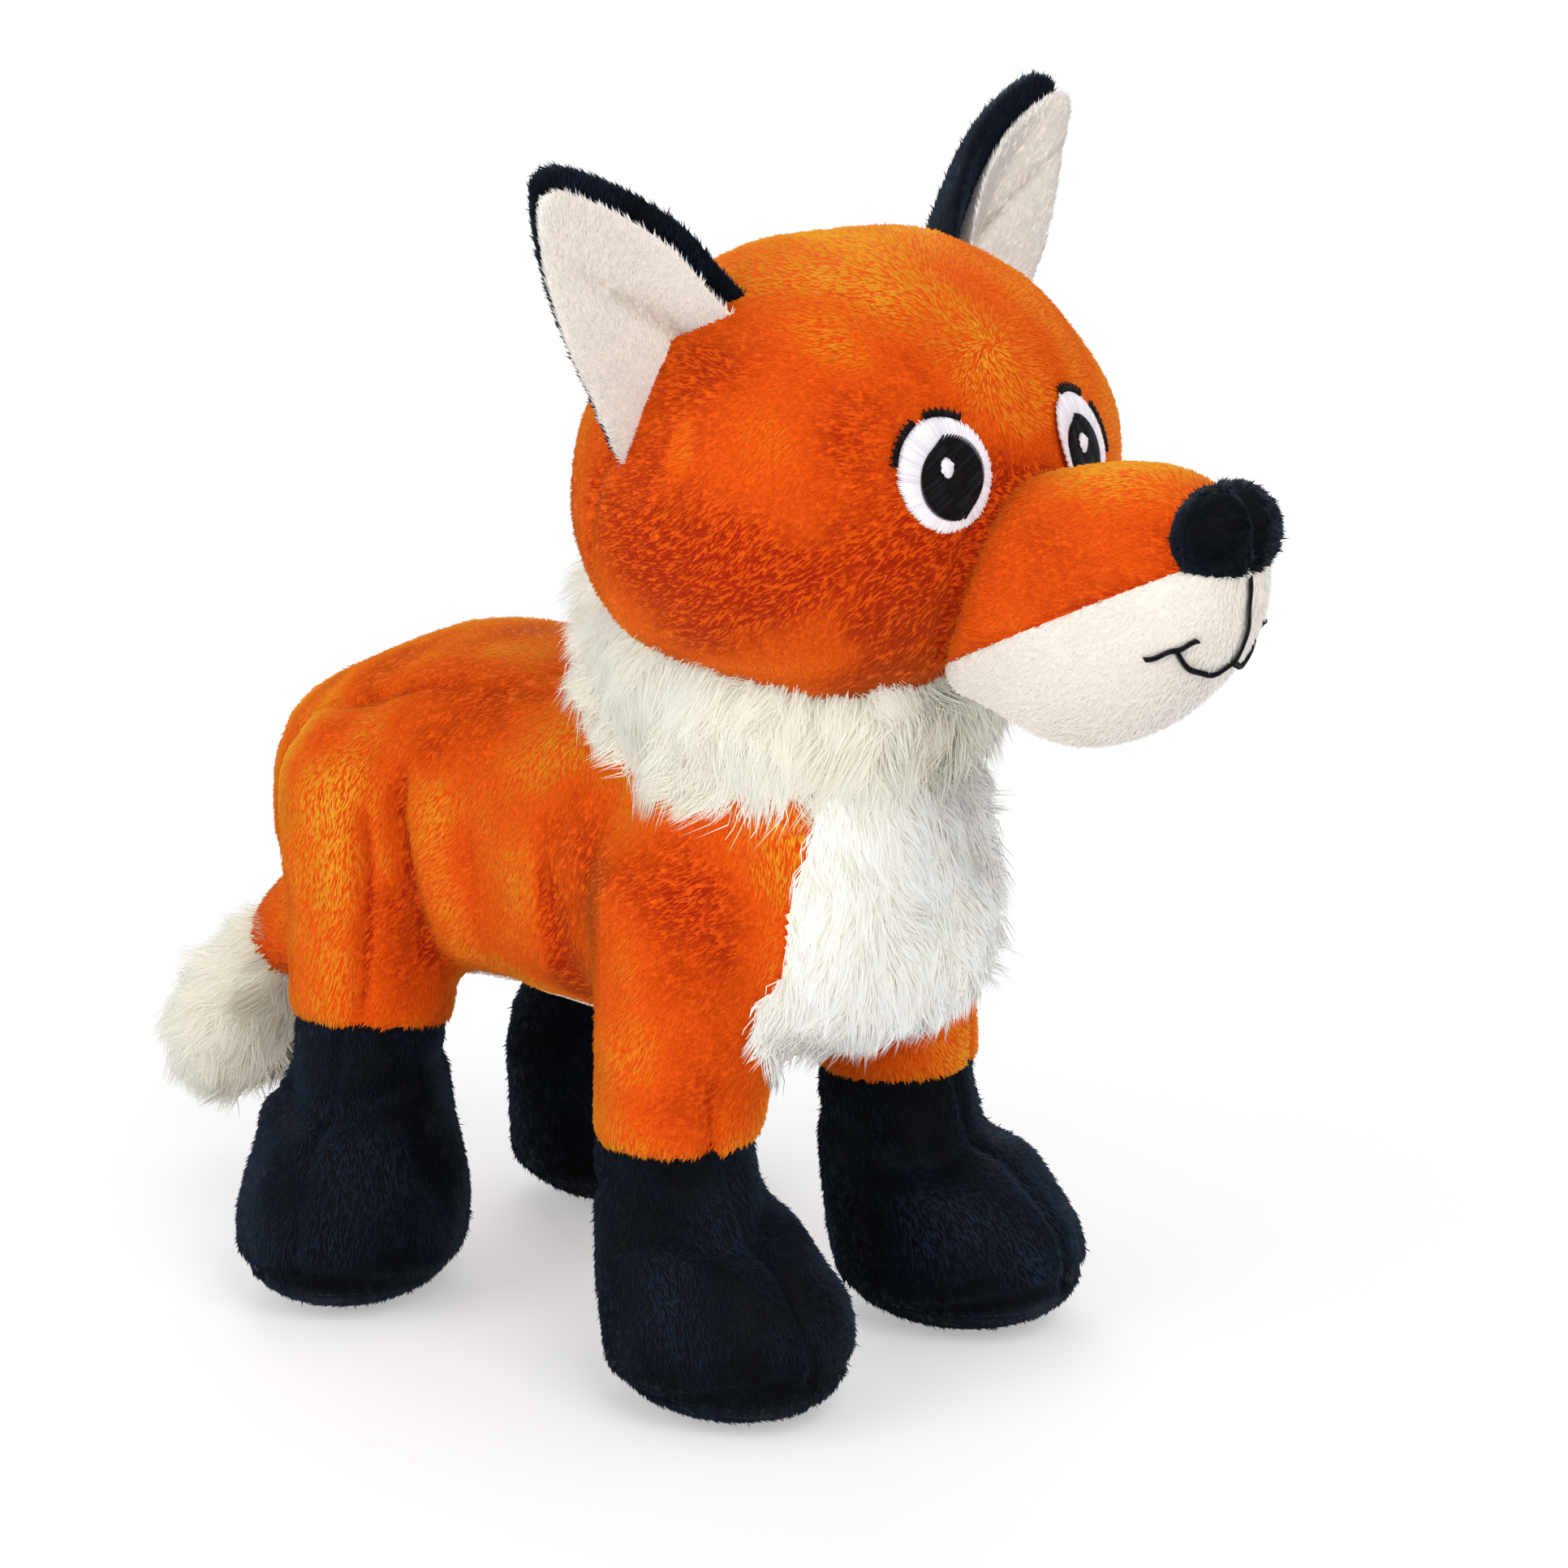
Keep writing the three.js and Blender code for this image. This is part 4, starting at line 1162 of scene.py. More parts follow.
    def hind_folds(self, p: np.ndarray, leg: Leg) -> tuple[np.ndarray, ...]:
        """A hind leg's dart, the crease in front of its haunch, and the bulge before that."""
        (out, own), y, z = self.near_leg(p, leg), p[:, 1], p[:, 2]
        outer, low = own & (out > leg.x - 4 * MM), falling(118, 132, z)
        at_hem = 0.35 + 0.65 * smoothstep(leg.hem_z, leg.hem_z + 12 * MM, z)
        crease = self.crease_y + 1.2 * MM * np.sin(z / (9 * MM))
        reach = rising(80, 92, z) * falling(126, 140, z)
        return (
            2.4 * MM * bell(y - self.dart_y, 1.6) * outer * low * at_hem,
            3.4 * MM * bell(y - crease, 2.4) * own * reach,
            -2.0 * MM * bell(y - crease + 12 * MM, 8) * own * reach,
        )

    def front_folds(self, p: np.ndarray, leg: Leg) -> tuple[np.ndarray, ...]:
        """A front leg's dart above its hem, and the soft fold behind it."""
        (out, own), y, z = self.near_leg(p, leg), p[:, 1], p[:, 2]
        dart = bell(out - self.sleeve_dart_x, 1.4) * (y < leg.y)
        fold = -9 * MM + (z - 100 * MM) * 0.2
        return (
            1.8 * MM * dart * falling(74, 82, z) * own,
            2.4 * MM * bell(y - fold, 6) * own * falling(112, 134, z),
        )

    def light(self, p: np.ndarray, legs: list[Leg]) -> np.ndarray:
        """How much lighter the pile is: painted shade in the seams, folds and dents and on the shoulder, and
        painted highlights on the bulges, the flank and the haunch.
        """
        y, z = p[:, 1], p[:, 2]
        flank = bell(y, 13, 24) * bell(z, 26, 112)
        haunch = bell(y, 5, 56) * rising(70, 90, z)
        shoulder = bell(y, 16, -22) * bell(z, 20, 128)
        seams = np.clip(self.seams(p, legs), -1 * MM, 3 * MM) / (5 * MM)
        return 0.28 * flank + 0.2 * haunch - 0.2 * shoulder - seams

    def bib_edge(self, z: np.ndarray) -> np.ndarray:
        """Half the bib's width at a height."""
        rows = np.array([0.0, 28, 35, 34, 34, 32, 29, 26, 25])[:, None] * MM
        return catmull(rows, np.clip((z - self.bib_bottom_z) / self.bib_height, 0, 1))[..., 0]

    def bib_level(self, p: np.ndarray) -> np.ndarray:
        """How far inside the bib each place lies, below zero outside."""
        inside = np.minimum(self.bib_edge(p[:, 2]) - np.abs(p[:, 0]), p[:, 2] - self.bib_bottom_z)
        return np.minimum(inside, self.bib_front_y - p[:, 1])

    def in_bib(self, p: np.ndarray, margin: float = 0.0) -> np.ndarray:
        """1 inside the bib by at least a margin and 0 outside, with a narrow soft edge."""
        return smoothstep(-EDGE, EDGE, self.bib_level(p) - margin)

    def belly_level(self, p: np.ndarray) -> np.ndarray:
        """How far inside the belly panel, narrow between the legs, each place lies, below zero outside."""
        x, y, z = np.abs(p[:, 0]), p[:, 1], p[:, 2]
        open_belly = rising(-34, -22, y) * falling(38, 50, y)
        half = self.belly_half_width * (self.belly_share + (1 - self.belly_share) * open_belly)
        inside = np.minimum(half - x, 9 * MM - np.abs(z - self.belly_z))
        return np.minimum(inside, np.minimum(y + 46 * MM, 84 * MM - y))

    def in_belly(self, p: np.ndarray, margin: float = 0.0) -> np.ndarray:
        """1 inside the belly panel by at least a margin and 0 outside, with a narrow soft edge."""
        return smoothstep(-EDGE, EDGE, self.belly_level(p) - margin)

    def build(self, shop: Workshop) -> None:
        """Makes the coat, the belly panel, the bib, the socks and the soles, each with its pile."""
        legs = self.legs()
        coat = self.coat(legs)
        names = ["torso_side_right", "torso_side_left", "back_panel", "torso_filling"]
        names += [f"leg_sleeve_{leg.name}" for leg in legs] + [f"leg_filling_{leg.name}" for leg in legs]
        piece = shop.piece("coat", coat, shop.finishes.orange, Body.TORSO, tuple(names))
        self.coat_pile(shop, coat, legs)
        self.patches(shop, coat)
        for leg in legs:
            self.boot(shop, leg)

    def coat_pile(self, shop: Workshop, coat: Skin, legs: list[Leg]) -> None:
        """The coat's short pile, brushed down and back, in a front and a rear piece on each side."""
        centres = coat.centres()
        lie = coat.lie(unit(np.array([0.0, 0.35, -1.0])))
        lie[:, 0] += 0.35 * parted(coat.points[:, 0], 10 * MM, 30 * MM)
        bare = np.maximum(self.in_bib(centres, 2 * MM), self.in_belly(centres, 2 * MM))
        open_to_air = (1 - bare) * self.shown(centres)

        def outside_patches(roots: np.ndarray) -> np.ndarray:
            """1 outside the bib and the belly panel, up to their very edges."""
            return 1 - np.maximum(self.in_bib(roots), self.in_belly(roots))

        def light(roots: np.ndarray) -> np.ndarray:
            """The coat's painted light and shade with these legs."""
            return self.light(roots, legs)

        right, front = centres[:, 0] < 0, centres[:, 1] < self.pile_split_y
        parts = {
            "right_front": right & front,
            "right_rear": right & ~front,
            "left_front": ~right & front,
            "left_rear": ~right & ~front,
        }
        for seed, (name, mask) in enumerate(parts.items()):
            share = open_to_air * mask
            pile = pile_skin(coat, SHORT, lie, share, 100 + 3 * seed, outside_patches, light)
            shop.piece(f"coat_pile_side_{name}", pile, shop.finishes.orange, Body.TORSO)

    def shown(self, p: np.ndarray) -> np.ndarray:
        """Where the coat is in the open: not under the ruff, inside a hem or over the neck."""
        from_axis = np.hypot(p[:, 0], p[:, 1] - NECK[1])
        covered = (p[:, 2] > 160 * MM) & (from_axis < 44 * MM)
        inner = p[:, 2] < np.where(p[:, 1] < 10 * MM, 61.5 * MM, 66.5 * MM)
        return 1.0 - np.clip(covered * 1.0 + inner * 1.0, 0, 1)

    def patches(self, shop: Workshop, coat: Skin) -> None:
        """The belly panel and the bib: raised copies of the coat's skin, with their own pile."""
        down = coat.lie(np.array([0.0, 0.1, -1.0]))
        down[:, 0] = 0.45 * parted(coat.points[:, 0], 8 * MM, 30 * MM)
        back = coat.lie(unit(np.array([0.0, 1.0, -0.2])))
        centres = coat.centres()
        belly = coat.raised(0.5 * MM).trimmed(self.belly_level).thick(0.4 * MM)
        cream, ivory = shop.finishes.cream, shop.finishes.ivory
        shop.piece("belly_panel_cloth", belly, cream, Body.TORSO, ("belly_panel",))
        low = coat.raised(0.4 * MM)
        pile = pile_skin(low, SHORT, back, self.in_belly(centres, -2 * MM), 140, self.in_belly)
        shop.piece("belly_panel_pile", pile, cream, Body.TORSO)
        bib = coat.raised(0.8 * MM).trimmed(self.bib_level).thick(0.6 * MM)
        shop.piece("chest_bib_cloth", bib, ivory, Body.TORSO, ("chest_bib",))
        share = self.in_bib(centres, -2 * MM) * (centres[:, 2] < 168 * MM)
        # painted highlight: the bib's pile is lifted half a tone, to the lightest ivory, where the front
        # light falls on the chest
        pile = pile_skin(coat.raised(0.9 * MM), BIB_PILE, down, share, 150, self.in_bib, lambda roots: 0.5)
        shop.piece("chest_bib_pile", pile, ivory, Body.TORSO)

    def boot(self, shop: Workshop, leg: Leg) -> None:
        """One leg's sock and sole, with their pile."""
        skin = leg.boot()
        z, black, pieces = skin.centres()[:, 2], shop.finishes.black, {}
        for part, mask in (("sock", z > leg.seam_z), ("sole", z <= leg.seam_z)):
            cloth = skin.part(mask).thick(0.5 * MM)
            node = (f"{part}_{leg.name}",)
            pieces[part] = shop.piece(f"{part}_cloth_{leg.name}", cloth, black, Body.TORSO, node)
        lie = skin.lie(unit(leg.toe * 0.5 - Z))
        share = ((z > 2 * MM) & (z < leg.hem_z + 1 * MM)).astype(float)
        seed = 200 + 3 * len(leg.name) + int(leg.side) + int(leg.y / MM)
        pile = pile_skin(skin, SOCK_PILE, lie, share, seed, light=leg.light)
        pile.points[:, 2] = np.maximum(pile.points[:, 2], 0.05 * MM)
        shop.piece(f"sock_pile_{leg.name}", pile, black, Body.TORSO)


@dataclass(frozen=True)
class Eye:
    """One embroidered eye. The photograph shows the far one narrower.

    Attributes:
        name: Right or left.
        side: -1 on the right and 1 on the left.
        place: Its centre, in millimetres.
        lean: How far it is turned in its own plane, in radians.
        narrow: Its width as a share of the near eye's.
        shift: How far its pupil lies across and up from its centre, in millimetres.
        lashes: The arcs of its rim that carry lashes, in half turns.
        turn: How far it faces outwards, in radians.
    """

    name: str
    side: float
    place: tuple[float, float, float]
    lean: float
    narrow: float
    shift: tuple[float, float]
    lashes: tuple[tuple[float, float], ...]
    turn: float = 0.34

    def axes(self) -> tuple[np.ndarray, np.ndarray, np.ndarray, np.ndarray]:
        """Its centre, and the directions across it, up it and out of the face."""
        outward = np.array([self.side * math.sin(self.turn), -math.cos(self.turn), 0])
        across = np.cross(Z, outward) * math.cos(self.lean) - Z * math.sin(self.lean)
        return np.array(self.place) * MM, across, np.cross(outward, across), outward


EYE_HALF = np.array([11.9, 12.9]) * MM  # half the white's width and height on the near eye
PUPIL_HALF = np.array([8.7, 8.7]) * MM  # the same for the pupil
EYE_COVER = np.array([11.6, 13.4]) * MM  # the same for the face that bears no pile
EYES = (
    Eye("right", -1.0, (-26, -118.5, 229), -0.42, 1.0, (1.0, -1.2), ((0.22, 0.45), (0.53, 0.8))),
    Eye("left", 1.0, (21, -118.5, 228.5), -0.34, 0.74, (-1.6, -1.2), ((0.24, 0.5), (-0.16, 0.14))),
)


@dataclass
class Head:
    """The head: face and back panels, muzzle, chin, nose, eyes and mouth.

    Attributes:
        middle_y: The middle of the head, front to back.
        bottom_z: The head's lowest point.
        top_z: Its crown.
        half_width: Half its width.
        half_depth: Half its depth.
        lean: How far its lower end lies behind its middle.
        muzzle_root: Where the muzzle's form begins.
        muzzle_tip: Where it ends, before its lift.
        muzzle_half_width: Half the muzzle's width.
        muzzle_half_height: Half its height.
        muzzle_lift: How far a bend share of 1 lifts it.
        lip_root_z: The height of the lip seam at the root.
        lip_tip_z: Its height at the tip.
        nose: The nose's middle.
        nose_half: Half its size.
        eyes_front_y: How far back the eyes' embroidery can reach.
        voxel: The size of a voxel where head and muzzle are joined.
    """

    middle_y: float = -62 * MM
    bottom_z: float = 163 * MM
    top_z: float = 272.5 * MM
    half_width: float = 65 * MM
    half_depth: float = 56.5 * MM
    lean: float = 3 * MM
    muzzle_root: np.ndarray = millimetres(0, -96, 198)
    muzzle_tip: np.ndarray = millimetres(0, -180, 198)
    muzzle_half_width: float = 22 * MM
    muzzle_half_height: float = 32.5 * MM
    muzzle_lift: float = 15 * MM
    lip_root_z: float = 177 * MM
    lip_tip_z: float = 219 * MM
    nose: np.ndarray = millimetres(0, -174.5, 221.5)
    nose_half: np.ndarray = millimetres(15, 9, 11.5)
    eyes_front_y: float = -85 * MM
    voxel: float = 1.9 * MM

    def form(self) -> Swell:
        """The head's form."""
        shares = [(0.95, 0.93, 1), (1, 0.99, 0.6), (1, 1, 0), (0.97, 0.97, -0.4), (0.93, 0.92, -0.8)]
        low, high = (np.array([0, self.middle_y, z]) for z in (self.bottom_z, self.top_z))
        return Swell(low, high, self.half_width, self.half_depth, X, shares, 0.88, 0.9, bend=Y * self.lean)

    def muzzle_form(self) -> Swell:
        """The muzzle's form."""
        shares = [
            (0.94, 0.86, -0.06), (0.98, 0.92, -0.06), (1, 0.98, 0.08),
            (0.94, 0.94, 0.45), (0.82, 0.72, 0.86),
        ]
        sizes, bend = (self.muzzle_half_width, self.muzzle_half_height), Z * self.muzzle_lift
        return Swell(self.muzzle_root, self.muzzle_tip, *sizes, X, shares, 0.5, 0.95, bend=bend)

    def lip_z(self, y: np.ndarray) -> np.ndarray:
        """The height of the seam between the orange muzzle top and the cream chin."""
        t = (self.muzzle_root[1] - y) / (self.muzzle_root[1] - self.muzzle_tip[1])
        return self.lip_root_z + (self.lip_tip_z - self.lip_root_z) * t

    def panel_seam(self, p: np.ndarray) -> np.ndarray:
        """The distance in front of the seam between the face panel and the back panel."""
        heights = np.array([150, 224, 258, 280]) * MM
        places = np.array([-22, -44, -74, -74]) * MM
        return np.interp(p[:, 2], heights, places) - p[:, 1]

    def skin(self) -> Skin:
        """Head and muzzle in one skin, with the creases and seams pulled in."""
        skin = melted([self.form().skin(72, 96), self.muzzle_form().skin(48, 64)], self.voxel)
        skin = skin.smoothed(10)
        crease = bell(self.crease_distance(skin.points), 12)
        skin = skin.smoothed(26, crease * rising(212, 228, skin.points[:, 2]))
        p, y, z = skin.points, skin.points[:, 1], skin.points[:, 2]
        low = falling(212, 232, z)
        crease = self.crease_distance(p)
        beside = bell(crease, 6, 9) * (self.outside_head(p) > 4 * MM)
        inward = (4.2 * MM * bell(crease, 2.6) - 1.6 * MM * beside) * low
        plain = falling(222, 238, z)
        inward += 1.5 * MM * bell(self.panel_seam(p), 1.5) * plain
        muzzle = y < self.muzzle_root[1] - 14 * MM
        inward += 1.1 * MM * bell(z - self.lip_z(y), 1.4) * muzzle
        inward -= 0.7 * MM * mottle(p, 30 * MM, 31) * rising(-150, -120, y)
        return skin.raised(-inward)

    def crease_distance(self, p: np.ndarray) -> np.ndarray:
        """Roughly how far each place lies from where the muzzle meets the head, on either skin.

        It is the length of two distances, to the head's front and to the muzzle's side. The second is the
        muzzle's own radius times how far the place's superellipse share differs from 1.
        """
        share = (self.muzzle_root[1] - p[:, 1]) / (self.muzzle_root[1] - self.muzzle_tip[1])
        size = self.muzzle_size(p[:, 0], p[:, 2], np.clip(share, 0.02, 0.98))
        return np.hypot(self.outside_head(p), (size - 1) * self.muzzle_half_width)

    def muzzle_size(self, x: np.ndarray, z: np.ndarray, share: np.ndarray) -> np.ndarray:
        """How many times wider than the muzzle the ring is that goes through each place.

        Args:
            x: Places across.
            z: Their heights.
            share: How far along the muzzle they lie, from 0 to 1.
        """
        form = self.muzzle_form()
        row = catmull(np.array(form.shares), share)
        ring = np.sqrt(1 - (1 - 2 * share) ** 2) ** form.blunt
        up = (z - self.muzzle_root[2] - self.muzzle_lift * row[..., 2]) / (form.upright * row[..., 1] * ring)
        out = x / (form.across * row[..., 0] * ring)
        power = 2 / form.square
        return (np.abs(up) ** power + np.abs(out) ** power) ** (1 / power)

    def chin_share(self, p: np.ndarray, margin: float = 0.0) -> np.ndarray:
        """1 on the chin, ahead of the head and below the lip seam by at least a margin, and 0 elsewhere."""
        return rising(-0.4, 0.4, self.chin_level(p) - margin)

    def chin_level(self, p: np.ndarray) -> np.ndarray:
        """How far inside the chin each place lies, below zero outside."""
        return np.minimum(self.outside_head(p) - 1 * MM, self.lip_z(p[:, 1]) - p[:, 2])

    def outside_head(self, p: np.ndarray) -> np.ndarray:
        """Roughly how far in front of the head's form each place lies."""
        return self.face_y(p[:, 0], p[:, 2]) - p[:, 1]

    def face_y(self, x: np.ndarray, z: np.ndarray) -> np.ndarray:
        """Where the head's form has its front, at a place across and a height."""
        form = self.form()
        share = np.clip((z - self.bottom_z) / (self.top_z - self.bottom_z), 1e-4, 1 - 1e-4)
        row = catmull(np.array(form.shares), share)
        ring = np.sqrt(1 - (1 - 2 * share) ** 2) ** form.blunt
        across, depth = self.half_width * row[..., 0] * ring, self.half_depth * row[..., 1] * ring
        power = 2 / form.square
        room = np.clip(1 - np.abs(x / across) ** power, 0, None)
        return self.middle_y + self.lean * row[..., 2] - depth * room ** (1 / power)

    def build(self, shop: Workshop) -> None:
        """Makes the head's panels, muzzle, chin, nose, mouth and eyes, with their pile and stitches."""
        skin = self.skin()
        orange, cream = shop.finishes.orange, shop.finishes.cream
        names = ("face_panel", "head_back_panel", "head_filling", "muzzle_top", "muzzle_filling")
        piece = shop.piece("head_cloth", skin, orange, Body.HEAD, names)
        shape = skin.raised(0.35 * MM).trimmed(self.chin_level).thick(0.3 * MM)
        shop.piece("chin_cloth", shape, cream, Body.HEAD, ("chin",))
        centres, lie = skin.centres(), skin.lie(np.array([0.0, 0.9, -0.7]))
        lie[:, 0] = 0.5 * parted(skin.points[:, 0], 0, 20 * MM)
        front = self.panel_seam(centres) > 0
        free = (1 - self.chin_share(centres, 2 * MM)) * (1 - self.hidden(centres))
        free *= np.where(front, 1.0, 0.75)

        def open_face(roots: np.ndarray) -> np.ndarray:
            """1 outside the chin, the nose and the eyes, up to their very edges."""
            return (1 - self.chin_share(roots)) * (1 - self.nose_share(roots)) * (1 - self.eye_share(roots))

        muzzle = centres[:, 1] < self.muzzle_root[1] - 26 * MM
        parts = {
            "face_right": front & ~muzzle & (centres[:, 0] < 0),
            "face_left": front & ~muzzle & (centres[:, 0] >= 0),
            "back": ~front,
            "muzzle": front & muzzle,
        }
        for seed, (name, mask) in enumerate(parts.items()):
            pile = pile_skin(skin, SHORT, lie, free * mask, 300 + 3 * seed, open_face, self.light)
            shop.piece(f"head_pile_{name}", pile, orange, Body.HEAD)
        down = skin.lie(unit(np.array([0.0, 0.8, -0.6])))
        share = self.chin_share(centres, -2 * MM) * (1 - self.nose_share(centres))
        pile = pile_skin(skin.raised(0.4 * MM), LINING_PILE, down, share, 330, self.chin_share)
        shop.piece("chin_pile", pile, cream, Body.HEAD)
        self.build_nose(shop)
        self.build_mouth(shop)
        for eye in EYES:
            self.build_eye(shop, eye)

    def light(self, p: np.ndarray) -> np.ndarray:
        """How much lighter the pile is: painted shade on the cheeks, the temples and the lower head, in the
        creases and along the seams, and painted highlights on top and on the muzzle's top.
        """
        y, z, outside = p[:, 1], p[:, 2], self.outside_head(p)
        on_head = outside < 3 * MM
        crease = self.crease_distance(p)
        low = falling(222, 240, z)
        cheek = (bell(crease, 16, 9) + bell(crease, 2.5)) * on_head * low
        cheek += 0.9 * bell(y, 28, -86) * bell(z, 24, 197) * on_head
        temple = bell(y, 24, -80) * bell(z, 22, 213)
        cheek += 0.55 * falling(196, 226, z) * on_head
        top = rising(240, 268, z)
        bridge = rising(222, 232, z) * (outside > 4 * MM)
        lip = bell(z - self.lip_z(y), 2) * (outside > 3 * MM)
        seam = bell(self.panel_seam(p), 1.6) * (z < 230 * MM)
        painted_shade = 0.4 * np.minimum(cheek, 1.3) + 0.46 * temple + 0.2 * lip + 0.3 * seam
        return 0.32 * top + 0.28 * bridge - painted_shade

    def hidden(self, p: np.ndarray) -> np.ndarray:
        """1 in the bowl under the head, which the ruff and the neck cover."""
        from_axis = np.hypot(p[:, 0], p[:, 1] - NECK[1])
        return ((p[:, 2] < 182 * MM) & (from_axis < 38 * MM)).astype(float)

    def nose_share(self, p: np.ndarray) -> np.ndarray:
        """1 where the nose covers the muzzle."""
        away = (p - self.nose) / (self.nose_half * 0.9)
        return (np.linalg.norm(away, axis=1) < 1).astype(float)

    def build_nose(self, shop: Workshop) -> None:
        """The stuffed nose, with its seam down the middle."""
        half = self.nose_half
        rows = [(1, 1, 0), (1, 1, 0), (0.92, 0.92, 0)]
        form = Swell(self.nose + Y * half[1], self.nose - Y * half[1], half[0], half[2], X, rows, 0.75)
        skin = form.skin(40, 64)
        p = skin.points
        flat_low = 1.6 * MM * rising(-6, -11, p[:, 2] - self.nose[2])
        skin = skin.raised(-1.6 * MM * bell(p[:, 0], 1.4) - flat_low)
        black = shop.finishes.black
        shop.piece("nose_cloth", skin, black, Body.HEAD, ("nose",))
        lie = unit(skin.points - self.nose + Z * 4 * MM) - Z * 0.4
        share = (skin.centres()[:, 1] < self.nose[1] + 6 * MM).astype(float)
        pile = pile_skin(skin, SOCK_PILE, lie, share, 340)
        shop.piece("nose_pile", pile, black, Body.HEAD)

    def muzzle_front(self, x: np.ndarray, z: np.ndarray) -> np.ndarray:
        """Places on the muzzle's front at a place across and a height, found by halving along the muzzle."""
        low, high = np.full(x.shape, 0.3), np.full(x.shape, 0.9999)
        for _ in range(40):
            share = (low + high) / 2
            inside = self.muzzle_size(x, z, share) < 1
            low, high = np.where(inside, share, low), np.where(inside, high, share)
        y = self.muzzle_root[1] + (self.muzzle_tip[1] - self.muzzle_root[1]) * low
        return np.stack([x, y, z], axis=-1)

    def build_mouth(self, shop: Workshop) -> None:
        """The mouth: a stitched line down from the nose, a smile and a tick at each end of it."""
        lip, corner, half = 193.5 * MM, 197.5 * MM, 13.5 * MM
        step = np.linspace(0, 1, 26)
        lines = [np.stack([0 * step, self.nose[2] - 9 * MM - (self.nose[2] - 9 * MM - lip) * step], axis=1)]
        for side in (-1.0, 1.0):
            low = np.array([side * half / 2, lip - 6 * MM])
            ends = np.array([0.0, lip]), np.array([side * half, corner])
            t = step[:, None]
            lines.append((1 - t) ** 2 * ends[0] + 2 * t * (1 - t) * low + t**2 * ends[1])
            tick = np.array([side * 2.5, -2.5]) * MM
            lines.append(ends[1] + tick * (2 * t - 1))
        stitched = []
        for line in lines:
            path = self.muzzle_front(line[:, 0], line[:, 1])
            wave = 0.35 * MM * np.sin(np.linspace(0, 13, len(path)) + line[-1, 0] * 400)
            path = path + wave[:, None] * (X + Z) * 0.6
            stitched.append(self.backstitch(path, 1.4 * MM))
        skin = together(stitched)
        black = shop.finishes.black_thread
        shop.piece("mouth_stitches", skin, black, Body.HEAD, ("mouth_line",))

    def backstitch(self, path: np.ndarray, width: float) -> Skin:
        """A narrow band of satin stitches, each lying slantwise across a path."""
        away = unit(path - (self.muzzle_root + self.muzzle_tip) / 2)
        length = np.concatenate([[0], np.cumsum(np.linalg.norm(np.diff(path, axis=0), axis=1))])
        places = np.arange(0, length[-1], 0.42 * MM)
        centre = np.stack([np.interp(places, length, path[:, k]) for k in range(3)], axis=1)
        normal = np.stack([np.interp(places, length, away[:, k]) for k in range(3)], axis=1)
        along = unit(np.gradient(centre, axis=0))
        side = unit(np.cross(along, normal))
        slant = side + along * 0.5
        ends = np.linspace(-0.5, 0.5, 4)[None, :, None]
        lift = normal[:, None] * (1.9 * MM - 2.4 * MM * ends**2)
        paths = centre[:, None] + slant[:, None] * ends * width + lift
        tone = np.random.default_rng(7).uniform(0.2, 0.8, len(places))
        return threads(paths, np.broadcast_to(normal[:, None], paths.shape), 0.5 * MM, 0.45 * MM, tone)

    def on_face(self, eye: Eye, flat: np.ndarray) -> np.ndarray:
        """Places on the face's cloth, from places across and up from the eye's centre."""
        centre, across, upward, outward = eye.axes()
        place = centre + flat[..., :1] * across + flat[..., 1:] * upward
        for _ in range(12):
            gap = self.face_y(place[..., 0], place[..., 2]) - place[..., 1]
            place = place + outward * (gap / outward[1])[..., None]
        return place

    def eye_share(self, p: np.ndarray) -> np.ndarray:
        """1 under the eyes' embroidery."""
        share = np.zeros(len(p))
        for eye in EYES:
            centre, across, upward, _ = eye.axes()
            a, b = (p - centre) @ across, (p - centre) @ upward
            inside = (a / EYE_COVER[0]) ** 2 + (b / EYE_COVER[1]) ** 2 < 1
            share += inside & (p[:, 1] < self.eyes_front_y)
        return np.clip(share, 0, 1)

    def build_eye(self, shop: Workshop, eye: Eye) -> None:
        """One eye in satin stitch: a white ring, a black pupil, a white glint and the lashes."""
        rng = np.random.default_rng(50 + int(eye.side))
        narrow, outward = np.array([eye.narrow, 1.0]), eye.axes()[3]
        half, pupil, shift = EYE_HALF * narrow, PUPIL_HALF * narrow, np.array(eye.shift) * MM
        white, black = shop.finishes.white_thread, shop.finishes.black_thread

        def satin(label: str, inner: np.ndarray, outer: np.ndarray, rise: float, finish: Plush) -> None:
            """Stitches from inner places to outer ones, arched a little and a rise above the face."""
            t = np.linspace(0, 1, 5)
            flat = inner[:, None] * (1 - t)[None, :, None] + outer[:, None] * t[None, :, None]
            arch = rise + 0.35 * MM * np.sin(math.pi * t)
            paths = self.on_face(eye, flat) + outward * arch[None, :, None]
            normals = np.broadcast_to(outward, paths.shape)
            tone = rng.uniform(0.15, 0.9, len(paths))
            skin = threads(paths, normals, 0.62 * MM, 0.5 * MM, tone)
            nodes = (f"{label}_{eye.name}",)
            shop.piece(f"{label}_stitches_{eye.name}", skin, finish, Body.HEAD, nodes)

